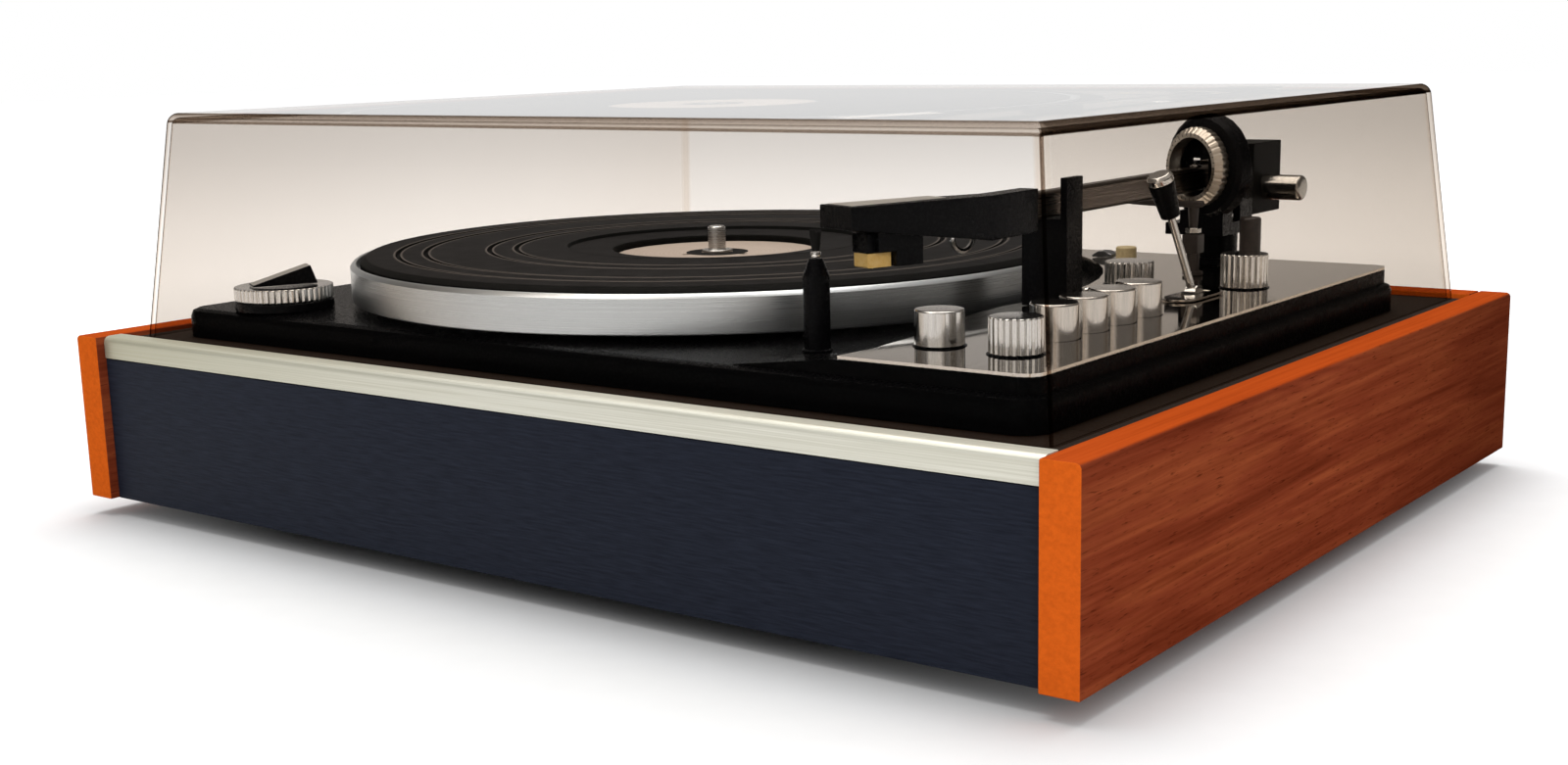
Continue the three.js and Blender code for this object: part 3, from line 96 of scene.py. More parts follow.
def finish(name, colour, roughness, metallic=0.0, specular=0.5, **more):
    """A material's one Principled shader with its plain values, its tree and itself."""
    material = bpy.data.materials.new(name)
    material.use_nodes = True
    shader = material.node_tree.nodes["Principled BSDF"]
    values = {
        "Base Color": linear(colour),
        "Roughness": roughness,
        "Metallic": metallic,
        "Specular IOR Level": specular,
    }
    for key, value in more.items():
        values[key.replace("_", " ")] = value
    for key, value in values.items():
        shader.inputs[key].default_value = value
    return material, material.node_tree, shader


def grained(tree, stretch, detail=4.0, distortion=0.0):
    """Cloudy grain on object coordinates; stretch is its repeats to the metre along x, y, z."""
    place = add(tree, "TexCoord", out="Object")
    laid = add(tree, "Mapping", {"Vector": place, "Scale": stretch})
    settings = {"Scale": 1.0, "Detail": detail, "Roughness": 0.6, "Distortion": distortion}
    return add(tree, "TexNoise", {"Vector": laid, **settings})


def patterned(tree, shader, pattern, stops=(), roughness=(), relief=()):
    """Lays a pattern on a shader: as colour stops, as roughness from low to high, and as relief
    of a depth in millimetres and a strength."""
    if stops:
        colour = add(tree, "ValToRGB", {"Fac": pattern}, stops)
        tree.links.new(colour, shader.inputs["Base Color"])
    if roughness:
        spread = {"Value": pattern, "From Min": 0.3, "From Max": 0.75}
        spread.update({"To Min": roughness[0], "To Max": roughness[1]})
        tree.links.new(add(tree, "MapRange", spread), shader.inputs["Roughness"])
    if relief:
        bump = {"Height": pattern, "Distance": relief[0] * MM, "Strength": relief[1]}
        tree.links.new(add(tree, "Bump", bump), shader.inputs["Normal"])


def veneer_material():
    """Sapele veneer under satin lacquer: red-brown, grain along the panel, short dark pores.

    The end faces are solid lipping, more orange. The narrow top faces are lighter and more orange,
    partly lipping and partly painted light from above, and the sides carry painted shade towards the
    rear.
    """
    material, tree, shader = finish("sapele_veneer_lacquered", "#8a4428", 0.5, specular=0.0)
    # figure bands some 8 mm high that run on for 150 mm, then streaks 1.5 mm high
    figure = grained(tree, (60, 7, 110), 5.0, 0.7)
    streaks = grained(tree, (600, 14, 700), 4.0, 0.2)
    # pores under half a millimetre high and 7 mm long, drawn a little coarse to show
    pores = grained(tree, (900, 130, 1500), 2.0)
    wood = add(
        tree,
        "ValToRGB",
        {"Fac": figure},
        [(0.3, "#672b18"), (0.48, "#843c24"), (0.62, "#954a2b"), (0.78, "#7e3920")],
    )
    streak = add(
        tree, "MapRange", {"Value": streaks, "From Min": 0.35, "From Max": 0.75, "To Max": 0.6}
    )
    streaked = add(tree, "Mix", {0: streak, 6: wood, 7: "#5a1e0e"}, data_type="RGBA", out=2)
    pore = add(
        tree, "MapRange", {"Value": pores, "From Min": 0.6, "From Max": 0.72, "To Max": 0.65}
    )
    pored = add(tree, "Mix", {0: pore, 6: streaked, 7: "#3d130a"}, data_type="RGBA", out=2)
    # painted shade: the side darkens towards the rear
    place = add(tree, "TexCoord", out="Object")
    along = add(tree, "SeparateXYZ", {0: place}, out="Y")
    rearward = add(
        tree,
        "MapRange",
        {"Value": along, "From Min": 0.0, "From Max": 0.16, "To Max": 0.55},
    )
    rear_shaded = add(tree, "Mix", {0: rearward, 6: pored, 7: "#3f170b"}, data_type="RGBA", out=2)
    # painted light: faces turned upward are lighter and more orange, partly as lipping and partly as
    # light falling from above
    normal = add(tree, "NewGeometry", out="Normal")
    facing = add(tree, "SeparateXYZ", {0: normal}, out=None)
    upward = add(tree, "MapRange", {"Value": facing["Z"], "From Min": 0.5, "From Max": 0.9})
    forward = add(tree, "MapRange", {"Value": facing["Y"], "From Min": -0.5, "From Max": -0.9})
    ends = add(tree, "Mix", {0: streak, 6: "#cf5d1a", 7: "#b04a14"}, data_type="RGBA", out=2)
    edge = add(tree, "Mix", {0: streak, 6: "#a24317", 7: "#83300f"}, data_type="RGBA", out=2)
    lipped = add(tree, "Mix", {0: forward, 6: rear_shaded, 7: ends}, data_type="RGBA", out=2)
    whole = add(tree, "Mix", {0: upward, 6: lipped, 7: edge}, data_type="RGBA", out=2)
    tree.links.new(whole, shader.inputs["Base Color"])
    patterned(tree, shader, pores, relief=(0.08, 0.5))
    return material


def front_film_material():
    """Vinyl film, blue-black and matt, with a faint level grain pressed into it."""
    material, tree, shader = finish("blue_black_vinyl_film", "#20232d", 0.55, specular=0.06)
    grain = grained(tree, (90, 400, 1400), 4.0)
    patterned(tree, shader, grain, [(0.3, "#141720"), (0.7, "#20242f")], relief=(0.08, 0.5))
    return material


def trim_material():
    """Anodised aluminium strip, drawn lengthwise: warm silver with fine level lines."""
    material, tree, shader = finish("anodised_aluminium_trim", "#cfcdbf", 0.42, 0.5)
    lines = grained(tree, (12, 2200, 2200), 3.0)
    drawn = add(tree, "ValToRGB", {"Fac": lines}, [(0.3, "#bcb9a9"), (0.7, "#d6d4c8")])
    place = add(tree, "TexCoord", out="Object")
    across = add(tree, "SeparateXYZ", {0: place}, out="X")
    # its left end is darker and greener, fading out towards the middle
    leftward = add(
        tree,
        "MapRange",
        {"Value": across, "From Min": -0.21, "From Max": 0.0, "To Min": 0.75, "To Max": 0.0},
    )
    whole = add(tree, "Mix", {0: leftward, 6: drawn, 7: "#9c977c"}, data_type="RGBA", out=2)
    tree.links.new(whole, shader.inputs["Base Color"])
    patterned(tree, shader, lines, relief=(0.006, 0.4))
    return material


def mottled_material(name, colour, tone, roughness, specular, scale, depth):
    """A matt or moulded finish: two close tones in a fine mottle, scale repeats to the metre."""
    material, tree, shader = finish(name, colour, roughness, specular=specular)
    mottle = grained(tree, (scale, scale, scale), 4.0)
    spread = (roughness * 0.85, min(roughness * 1.25, 1.0))
    patterned(tree, shader, mottle, [(0.35, colour), (0.75, tone)], spread, (depth, 0.4))
    return material


def worked_metal(name, colour, tone, roughness, stretch, depth):
    """Drawn, rolled or polished metal: tool marks along the axis with the least stretch."""
    material, tree, shader = finish(name, colour, roughness, 1.0)
    marks = grained(tree, stretch, 4.0)
    spread = (roughness * 0.8, roughness * 1.4)
    patterned(tree, shader, marks, [(0.3, colour), (0.75, tone)], spread, (depth, 0.4))
    return material


def radius_from(tree, centre):
    """Distance in metres from an upright line, and the height."""
    place = add(tree, "TexCoord", out="Object")
    from_centre = add(tree, "VectorMath", {0: place, 1: tuple(centre)}, operation="SUBTRACT")
    parts = add(tree, "SeparateXYZ", {0: from_centre}, out=None)
    flat = add(tree, "CombineXYZ", {0: parts["X"], 1: parts["Y"]})
    radius = add(tree, "VectorMath", {0: flat}, operation="LENGTH", out="Value")
    return radius, parts["Z"]


def turned_metal(name, colour, tone, roughness, centre, pitch, metallic=1.0):
    """Metal turned on a lathe: rings round an upright line, pitch millimetres apart."""
    material, tree, shader = finish(name, colour, roughness, metallic)
    radius, height = radius_from(tree, centre)
    along = add(tree, "Math", {0: radius, 1: height}, operation="ADD")
    marks = add(
        tree,
        "TexNoise",
        {"W": along, "Scale": 1 / (pitch * MM), "Detail": 3.0},
        noise_dimensions="1D",
    )
    cloud = grained(tree, (30, 30, 30), 4.0)
    both = add(tree, "Math", {0: marks, 1: cloud}, operation="ADD")
    half = add(tree, "Math", {0: both, 1: 0.5}, operation="MULTIPLY")
    patterned(tree, shader, half, [(0.35, colour), (0.65, tone)])
    spread = (roughness * 0.8, roughness * 1.3)
    patterned(tree, shader, marks, roughness=spread, relief=(0.004, 0.4))
    return material


def mat_material(centre):
    """Moulded rubber mat: brown-black with a dusty bloom and concentric ribs 0.9 mm apart."""
    material, tree, shader = finish("ribbed_mat_rubber", "#231f1f", 0.6, specular=0.02)
    radius = radius_from(tree, centre)[0]
    turns = add(tree, "Math", {0: radius, 1: FULL_TURN / (0.9 * MM)}, operation="MULTIPLY")
    ribs = add(tree, "Math", {0: turns}, operation="SINE")
    bloom = grained(tree, (120, 120, 120), 5.0)
    top = add(tree, "ValToRGB", {"Fac": bloom}, [(0.35, "#1c1b1b"), (0.75, "#272626")])
    # painted shade and light: each sunk ring is painted black, and its lips carry a painted highlight
    nearest = 1.0
    for ring in MAT_RINGS:
        apart = add(tree, "Math", {0: radius, 1: ring * MM}, operation="SUBTRACT")
        apart = add(tree, "Math", {0: apart}, operation="ABSOLUTE")
        nearest = add(tree, "Math", {0: apart, 1: nearest}, operation="MINIMUM")
    in_mm = add(tree, "Math", {0: nearest, 1: 0.25 / MM}, operation="MULTIPLY")
    lip_highlight = add(
        tree,
        "ValToRGB",
        {"Fac": in_mm},
        [(0.2, "#000000"), (0.26, "#ffffff"), (0.38, "#ffffff"), (0.5, "#000000")],
    )
    groove_shade = add(tree, "ValToRGB", {"Fac": in_mm}, [(0.17, "#ffffff"), (0.24, "#000000")])
    lipped = add(tree, "Mix", {0: lip_highlight, 6: top, 7: "#55504d"}, data_type="RGBA", out=2)
    ringed = add(tree, "Mix", {0: groove_shade, 6: lipped, 7: "#060606"}, data_type="RGBA", out=2)
    # painted shade: faces turned away from above, such as the chamfered edge, are darker
    normal = add(tree, "NewGeometry", out="Normal")
    upward = add(tree, "SeparateXYZ", {0: normal}, out="Z")
    level = add(tree, "MapRange", {"Value": upward, "From Min": 0.8, "From Max": 0.95})
    whole = add(tree, "Mix", {0: level, 6: "#121211", 7: ringed}, data_type="RGBA", out=2)
    tree.links.new(whole, shader.inputs["Base Color"])
    patterned(tree, shader, ribs, relief=(0.03, 0.3))
    return material


def acrylic_material():
    """Cast acrylic sheet, faintly warm: clear where it is looked through, a mirror at a glancing
    angle, and painted grey-brown along its rounded edges, for the light that they bend away.

    The sheet is thin, so light and shadow pass straight through it, a little dimmed.
    """
    material, tree, shader = finish(
        "clear_cast_acrylic",
        "#ece8e4",
        0.0,
        IOR=1.49,
        Transmission_Weight=1.0,
    )
    wipes = grained(tree, (16, 40, 16), 5.0, 0.8)
    patterned(tree, shader, wipes, roughness=(0.0, 0.03))
    facing = add(tree, "LayerWeight", {"Blend": 0.5}, out="Facing")
    # a thin sheet: what is behind it hardly shifts, so most of its light goes straight through
    flat_tint = add(
        tree,
        "ValToRGB",
        {"Fac": facing},
        [
            (0.0, "#f0efee"),
            (0.28, "#f1efed"),
            (0.45, "#ebe7e3"),
            (0.8, "#dad4cd"),
            (0.97, "#cfc6be"),
        ],
    )
    # the rounded edges bend light away, so they are dark at their outline
    round_tint = add(
        tree,
        "ValToRGB",
        {"Fac": facing},
        [
            (0.0, "#ece7e2"),
            (0.4, "#e8e2dc"),
            (0.55, "#c9c0b8"),
            (0.7, "#8f847a"),
            (1.0, "#63584f"),
        ],
    )
    normal = add(tree, "NewGeometry", out="Normal")
    size = add(tree, "VectorMath", {0: normal}, operation="ABSOLUTE")
    parts = add(tree, "SeparateXYZ", {0: size}, out=None)
    side_on = add(tree, "Math", {0: parts["X"], 1: parts["Y"]}, operation="MAXIMUM")
    squarest = add(tree, "Math", {0: side_on, 1: parts["Z"]}, operation="MAXIMUM")
    flat = add(tree, "MapRange", {"Value": squarest, "From Min": 0.965, "From Max": 0.985})
    tint = add(tree, "Mix", {0: flat, 6: round_tint, 7: flat_tint}, data_type="RGBA", out=2)
    # painted dark lines for light bent at the roundings: a thin one where a wall's rounding starts,
    # and a broad one on the right-hand wall
    thin_line = [(0.2, "#ffffff"), (0.27, "#a89d93"), (0.33, "#a89d93"), (0.42, "#ffffff")]
    along_top = add(tree, "ValToRGB", {"Fac": parts["Z"]}, thin_line)
    broad_line = [
        (0.2, "#ffffff"),
        (0.26, "#5e534a"),
        (0.4, "#5e534a"),
        (0.55, "#b5aea7"),
        (0.96, "#b5aea7"),
        (0.99, "#ffffff"),
    ]
    along_side = add(tree, "ValToRGB", {"Fac": parts["Z"]}, broad_line)
    place = add(tree, "TexCoord", out="Object")
    spots = add(tree, "SeparateXYZ", {0: place}, out=None)
    on_right = add(tree, "Math", {0: spots["X"], 1: 0.0}, operation="GREATER_THAN")
    sideways = add(tree, "Math", {0: parts["X"], 1: parts["Y"]}, operation="GREATER_THAN")
    sideways = add(tree, "Math", {0: sideways, 1: on_right}, operation="MULTIPLY")
    along = add(tree, "Mix", {0: sideways, 6: along_top, 7: along_side}, data_type="RGBA", out=2)
    # a painted dark line for light bent at the upright corner at the front right
    both_ways = add(tree, "Math", {0: parts["X"], 1: parts["Y"]}, operation="MINIMUM")
    in_front = add(tree, "Math", {0: spots["Y"], 1: 0.0}, operation="LESS_THAN")
    near = add(tree, "Math", {0: on_right, 1: in_front}, operation="MULTIPLY")
    at_corner = add(tree, "Math", {0: both_ways, 1: near}, operation="MULTIPLY")
    down_corner = add(tree, "ValToRGB", {"Fac": at_corner}, [(0.58, "#ffffff"), (0.64, "#a09185")])
    lines = add(tree, "VectorMath", {0: along, 1: down_corner}, operation="MULTIPLY")
    tinted = add(tree, "VectorMath", {0: tint, 1: lines}, operation="MULTIPLY")
    straight = add(tree, "BsdfTransparent", {"Color": tinted})
    glancing = add(
        tree,
        "MapRange",
        {"Value": facing, "From Min": 0.76, "From Max": 0.94, "To Min": 0.0, "To Max": 0.97},
    )
    skin = add(tree, "Math", {0: glancing, 1: flat}, operation="MULTIPLY")
    # only the first face that a ray meets is a mirror; the faces behind it let it out
    crossed = add(tree, "LightPath", out="Transparent Depth")
    first = add(tree, "Math", {0: crossed, 1: 0.5}, operation="LESS_THAN")
    skin = add(tree, "Math", {0: skin, 1: first}, operation="MULTIPLY")
    sheet = add(tree, "MixShader", {0: skin, 1: straight, 2: shader.outputs[0]})
    rays = add(tree, "LightPath", out=None)
    lit = add(
        tree,
        "Math",
        {0: rays["Is Shadow Ray"], 1: rays["Is Diffuse Ray"]},
        operation="MAXIMUM",
    )
    clear = add(tree, "BsdfTransparent", {"Color": "#f6f4f1"})
    blend = add(tree, "MixShader", {0: lit, 1: sheet, 2: clear})
    tree.links.new(blend, tree.nodes["Material Output"].inputs["Surface"])
    return material


# radii of the sunk rings in the mat, in millimetres
MAT_RINGS = (125.7, 115.0, 90.3, 79.7)

platter_low, platter_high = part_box("platter")
PLATTER_AXIS = ((platter_low[0] + platter_high[0]) / 2, (platter_low[1] + platter_high[1]) / 2, 0.0)

VENEER = veneer_material()
FRONT_FILM = front_film_material()
TRIM = trim_material()
ACRYLIC = acrylic_material()
# stained fibreboard: matt, dark brown and felted
BOARD = mottled_material("stained_fibreboard", "#1a120d", "#2a1e16", 0.8, 0.1, 900, 0.1)
# moulded rubber: matt with a powdery bloom
FOOT_RUBBER = mottled_material("foot_rubber", "#131212", "#232120", 0.8, 0.15, 1800, 0.03)
# stoved enamel: deep black, satin, with a trace of dust
DECK_ENAMEL = mottled_material("stoved_black_enamel", "#060607", "#0b0b0c", 0.26, 0.02, 900, 0.0008)
# moulded ABS: black with a low sheen
BLACK_MOULDING = mottled_material("black_moulded_abs", "#08080a", "#0e0e10", 0.26, 0.06, 900, 0.001)
# crackle enamel on the cast weight: black, dull, pebbled
WEIGHT_ENAMEL = mottled_material("black_crackle_enamel", "#0b0b0b", "#151413", 0.5, 0.04, 1200, 0.012)
# thin brown-grey enamel on the lift and the damper: a low sheen
MECHANISM = mottled_material("brown_grey_enamel", "#2b2624", "#3a3431", 0.4, 0.35, 500, 0.003)
# nylon bristle: black, each strand with a thin sheen
BRISTLE = mottled_material("nylon_bristle_black", "#0c0b0b", "#161514", 0.5, 0.15, 3000, 0.01)
# natural nylon: cream, slightly chalky
CREAM = mottled_material("cream_nylon", "#b5a67f", "#cdbf98", 0.5, 0.4, 900, 0.02)
# amber acetal: warm yellow, waxy
STYLUS_AMBER = mottled_material("amber_acetal", "#e4ba66", "#f0cf8e", 0.35, 0.4, 500, 0.01)
# rolled and polished sheet: a mirror with the faintest draw lines from front to back
PLATE_METAL = worked_metal(
    "polished_aluminium_sheet", "#d6cec5", "#c9c1b7", 0.05, (1800, 16, 1800), 0.0003
)
# moulded rubber: black-brown, dusty, with fine rings
MAT_RUBBER = mat_material(PLATTER_AXIS)
# lathe-turned rim: blue-grey with level lines
RIM_METAL = turned_metal("turned_aluminium_rim", "#d3d8db", "#cbd0d4", 0.32, PLATTER_AXIS, 0.25)
# spun sheet under lacquer: pinkish silver, pale and soft, with fine rings
DISC_METAL = turned_metal(
    "lacquered_aluminium_disc", "#dccdc0", "#cbbaad", 0.45, PLATTER_AXIS, 0.5, metallic=0.6
)
# ground and polished steel: close to a mirror
STEEL = worked_metal("polished_steel", "#cfcfce", "#c2c1bf", 0.12, (900, 900, 900), 0.0003)
# ground rod: satin steel with lines round it
SPINDLE_STEEL = turned_metal("ground_steel_rod", "#d4d2ce", "#bdbbb7", 0.26, PLATTER_AXIS, 0.25)
# bright anodised knobs: upright draw marks
KNOB_METAL = worked_metal(
    "bright_anodised_aluminium", "#dddbd8", "#c4c2be", 0.13, (2600, 2600, 60), 0.0015
)
# anodised tube: satin grey-brown, drawn along the arm
ARM_METAL = worked_metal(
    "bronze_anodised_tube", "#5a5048", "#4c433c", 0.27, (1500, 20, 1500), 0.0015
)
# dial face: satin beige silver
DIAL_METAL = worked_metal(
    "satin_dial_aluminium", "#d2cbc0", "#c6beb2", 0.32, (300, 300, 300), 0.0003
)
# machined steel: grey, fine tooling
MACHINED = worked_metal("machined_steel", "#8e9195", "#6f7276", 0.35, (700, 700, 700), 0.002)
# browned steel: a dull mirror, darker than the other screws
DARK_STEEL = worked_metal("browned_steel", "#aca9a3", "#989590", 0.2, (900, 900, 900), 0.0004)
# foil on the pointer and the headshell: grey, brushed
FOIL = worked_metal("brushed_grey_foil", "#e9e5df", "#d3cec6", 0.34, (1400, 60, 1400), 0.001)


# Making and finishing pieces


def deselect():
    """Leaves edit mode and selects nothing."""
    if bpy.context.object and bpy.context.object.mode != "OBJECT":
        bpy.ops.object.mode_set(mode="OBJECT")
    bpy.ops.object.select_all(action="DESELECT")


def only(piece):
    """Selects one piece and makes it active."""
    deselect()
    piece.select_set(True)
    bpy.context.view_layer.objects.active = piece


def settle(piece):
    """Puts a piece's place into its mesh, so that its object sits at the origin."""
    only(piece)
    bpy.ops.object.transform_apply(location=True, rotation=True, scale=True)


def smooth(piece, degrees=32.0):
    """Smooth shading, with creases where faces meet at more than this angle."""
    only(piece)
    bpy.ops.object.shade_smooth_by_angle(angle=math.radians(degrees))
    applied(piece, "WEIGHTED_NORMAL", keep_sharp=True, weight=60)


def applied(piece, kind, **settings):
    """Adds a modifier to a piece and applies it."""
    only(piece)
    modifier = piece.modifiers.new(kind.lower(), kind)
    for key, value in settings.items():
        setattr(modifier, key, value)
    bpy.ops.object.modifier_apply(modifier=modifier.name)


def eased(piece, width, segments=2, degrees=30.0):
    """Rounds a piece's sharp edges by a width in millimetres."""
    applied(
        piece,
        "BEVEL",
        width=width * MM,
        segments=segments,
        limit_method="ANGLE",
        angle_limit=math.radians(degrees),
    )


def wear(piece, body, material, slot, *nodes):
    """Gives a finished piece its body and material, and hides the nodes that it replaces; slot is not
    used.
    """
    piece.data.materials.clear()
    piece.data.materials.append(material)
    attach(piece, body)
    if nodes:
        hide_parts(*nodes)
    return piece


def turned(name, centre, profile, segments=96, crease=32.0):
    """A revolved piece: a ring drawn through the profile's (radius, height) pairs.

    The profile starts and ends on a flat face, or comes back to its first pair. centre is a point
    in metres; radii and heights are millimetres, heights above the centre.
    """
    deselect()
    radius, height = profile[0]
    bpy.ops.mesh.primitive_circle_add(
        vertices=segments,
        radius=radius * MM,
        fill_type="NOTHING",
        location=(centre.x, centre.y, centre.z + height * MM),
    )
    piece = bpy.context.object
    piece.name = name
    bpy.ops.object.mode_set(mode="EDIT")
    bpy.ops.mesh.select_mode(type="VERT")
    bpy.ops.mesh.select_all(action="SELECT")
    for next_radius, next_height in profile[1:]:
        rise = (0, 0, (next_height - height) * MM)
        bpy.ops.mesh.extrude_region_move(TRANSFORM_OT_translate={"value": rise})
        share = next_radius / radius
        bpy.ops.transform.resize(value=(share, share, 1), center_override=centre)
        radius, height = next_radius, next_height
    bpy.ops.mesh.select_all(action="SELECT")
    bpy.ops.mesh.remove_doubles(threshold=1e-7)
    if profile[0] != profile[-1]:
        bpy.ops.mesh.select_non_manifold()
        bpy.ops.mesh.fill_holes(sides=0)
    bpy.ops.mesh.select_all(action="SELECT")
    bpy.ops.mesh.normals_make_consistent(inside=False)
    bpy.ops.object.mode_set(mode="OBJECT")
    settle(piece)
    smooth(piece, crease)
    return piece


def arc(centre_radius, centre_height, bend, start, end, steps=5):
    """Profile pairs round a bend, from one angle in degrees to another."""
    pairs = []
    for i in range(steps + 1):
        angle = math.radians(start + (end - start) * i / steps)
        pairs.append(
            (
                centre_radius + bend * math.cos(angle),
                centre_height + bend * math.sin(angle),
            )
        )
    return pairs


def leaned(piece, centre, rotation):
    """Turns a finished piece about a point by a rotation matrix."""
    piece.data.transform(
        Matrix.Translation(centre) @ rotation.to_4x4() @ Matrix.Translation(-centre)
    )
    piece.data.update()
    return piece


def block(name, low, high, edge=0.0):
    """A box between two corners, its edges rounded by a width in millimetres."""
    deselect()
    bpy.ops.mesh.primitive_cube_add(size=1, location=(low + high) / 2)
    piece = bpy.context.object
    piece.name = name
    bpy.ops.object.mode_set(mode="EDIT")
    bpy.ops.transform.resize(value=high - low, center_override=(low + high) / 2)
    bpy.ops.object.mode_set(mode="OBJECT")
    settle(piece)
    if edge:
        eased(piece, edge)
    smooth(piece)
    return piece


def refined(node, name, edge, segments=2, degrees=30.0, crease=32.0):
    """A copy of a node with its faces merged, its edges rounded and its curves shaded smooth."""
    deselect()
    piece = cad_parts[node].copy()
    piece.data = piece.data.copy()
    piece.parent = None
    piece.name = name
    bpy.context.scene.collection.objects.link(piece)
    only(piece)
    bpy.ops.object.mode_set(mode="EDIT")
    bpy.ops.mesh.select_all(action="SELECT")
    bpy.ops.mesh.remove_doubles(threshold=1e-6)
    bpy.ops.mesh.dissolve_limited(angle_limit=math.radians(0.6))
    bpy.ops.object.mode_set(mode="OBJECT")
    if edge:
        eased(piece, edge, segments, degrees)
    smooth(piece, crease)
    return piece


def restyled(node, name, body, material, slot, edge, *shaping):
    """Puts a refined copy of a node, dressed in its real material, in the node's place."""
    return wear(refined(node, name, edge, *shaping), body, material, slot, node)


def coat(node, material):
    """Gives a node that keeps its own shape a better material."""
    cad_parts[node].data.materials.clear()
    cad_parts[node].data.materials.append(material)


def pick(piece, test):
    """Selects the piece's vertices whose places pass a test, and enters edit mode."""
    only(piece)
    for kind in (piece.data.polygons, piece.data.edges):
        for part in kind:
            part.select = False
    for vertex in piece.data.vertices:
        vertex.select = test(vertex.co)
    bpy.ops.object.mode_set(mode="EDIT")
    bpy.ops.mesh.select_mode(type="VERT")


def cut_away(piece, tool):
    """Cuts a tool's shape out of a piece and throws the tool away."""
    applied(piece, "BOOLEAN", operation="DIFFERENCE", solver="EXACT", object=tool)
    bpy.data.objects.remove(tool)
    smooth(piece)


def middle(node, height):
    """The point on a node's upright middle line at a height in millimetres on the plinth."""
    low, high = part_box(node)
    return Vector(((low[0] + high[0]) / 2, (low[1] + high[1]) / 2, (height + FOOT_HEIGHT) * MM))


# Plinth

for side in ("left", "right"):
    restyled("side_panel_" + side, "veneered_side_" + side, "root", VENEER, "walnut_veneer", 0.5, 3)

restyled("back_panel", "veneered_back", "root", VENEER, "walnut_veneer", 0.4)
restyled("front_panel", "film_front", "root", FRONT_FILM, "front_paint", 0.25)
restyled("front_trim", "rolled_trim", "root", TRIM, "trim_aluminium", 0.2, 2, 50)
for node in ("ledge_front", "ledge_rear", "ledge_left", "ledge_right", "base_board"):
    coat(node, BOARD)
for corner in ("front_left", "front_right", "rear_left", "rear_right"):
    node = "foot_" + corner
    foot = turned(
        "rubber_" + node,
        middle(node, -FOOT_HEIGHT),
        [(7.6, 0), (8.4, 0.2), (8.9, 0.9), (9.9, 8.3), (9.6, 8.6)],
        48,
    )
    wear(foot, "root", FOOT_RUBBER, "foot_rubber", node)

# Dust cover

# its outside at the foot and at the top, across and from front to back, in millimetres
COVER_FOOT = (402, 330)
COVER_TOP = (383, 310.5)
COVER_SHEET = 1.8
COVER_ROUNDING = 4


def cover_piece():
    """Five walls of sheet that lean in, with rounded corners and a polished lower edge."""
    low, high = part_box("dust_cover")
    low, high = Vector(low), Vector(high)
    deselect()
    bpy.ops.mesh.primitive_cube_add(size=1, location=(low + high) / 2)
    piece = bpy.context.object
    piece.name = "acrylic_cover"
    bpy.ops.object.mode_set(mode="EDIT")
    bpy.ops.transform.resize(value=high - low, center_override=(low + high) / 2)
    bpy.ops.object.mode_set(mode="OBJECT")
    settle(piece)
    # the top is narrower and shorter than the foot, and sits a little further back
    pick(piece, lambda place: place.z > (low.z + high.z) / 2)
    share = (COVER_TOP[0] / COVER_FOOT[0], COVER_TOP[1] / COVER_FOOT[1], 1)
    bpy.ops.transform.resize(value=share, center_override=(low + high) / 2)
    bpy.ops.transform.translate(value=(0, 0.75 * MM, 0))
    bpy.ops.object.mode_set(mode="OBJECT")
    pick(piece, lambda place: place.z < low.z + MM)
    bpy.ops.mesh.select_mode(type="FACE")
    bpy.ops.mesh.delete(type="ONLY_FACE")
    bpy.ops.object.mode_set(mode="OBJECT")
    eased(piece, COVER_ROUNDING, 6, 60)
    applied(piece, "SOLIDIFY", thickness=COVER_SHEET * MM, offset=-1.0, use_even_offset=True)
    eased(piece, 0.25, 2, 60)
    smooth(piece, 28)
    return piece


wear(cover_piece(), "cover", ACRYLIC, "clear_acrylic", "dust_cover")

# Deck

# the top of the control plate, and the height at which its fittings stand clear of it
PLATE_TOP = 79.0
SEAT = 79.3

restyled("unit_plate", "enamelled_deck", "root", DECK_ENAMEL, "deck_black", 0.5, 3, 40, 40)
restyled(
    "control_plate", "polished_plate", "root", PLATE_METAL, "control_aluminium", 0.15, 2, 40, 30
)
coat("motor", MACHINED)
coat("main_bearing", MACHINED)
coat("motor_pulley", STEEL)
coat("idler_wheel", FOOT_RUBBER)

# Platter

rim = turned(
    "cast_platter",
    middle("platter", 0),
    [(3.9, 76.5), (13, 76.5), (13, 82), (140, 82), (140, 75.5), (143.3, 75.5)]
    + [(143.8, 75.7), (144, 76.2), (144, 88.0), (143.7, 88.4), (142.9, 89.3), (142.5, 89.5)]
    + [(141.9, 89.5), (141.6, 89.2), (141.5, 86), (3.9, 86), (3.9, 76.5)],
    288,
)
wear(rim, "platter", RIM_METAL, "rim_aluminium", "platter")


def mat_profile():
    """The mat's section: a chamfered edge, the sunk rings with raised lips, and a dished middle."""
    top, floor = 91.5, 86.3
    pairs = [(41.5, floor), (140.2, floor), (140.2, 89.7), (137.9, 91.3), (137.3, top)]
    for ring in MAT_RINGS:
        pairs += [
            (ring + 2.0, top),
            (ring + 1.4, top + 0.25),
            (ring + 0.9, top + 0.1),
            (ring + 0.65, top - 1.0),
            (ring - 0.65, top - 1.0),
            (ring - 0.95, top - 0.05),
        ]
    pairs += [(61.0, top), (60.4, top + 0.25), (59.7, top + 0.2), (59.1, top - 1.1)]
    pairs += [(43.0, 90.0), (41.8, 89.7), (41.5, 89.2)]
    return pairs + [pairs[0]]


mat = turned("ribbed_mat", middle("platter", 0), mat_profile(), 256, 24)
wear(mat, "platter", MAT_RUBBER, "mat_rubber", "platter_mat")

restyled("centre_disc", "spun_centre_disc", "platter", DISC_METAL, "disc_aluminium", 0.12, 2, 40)

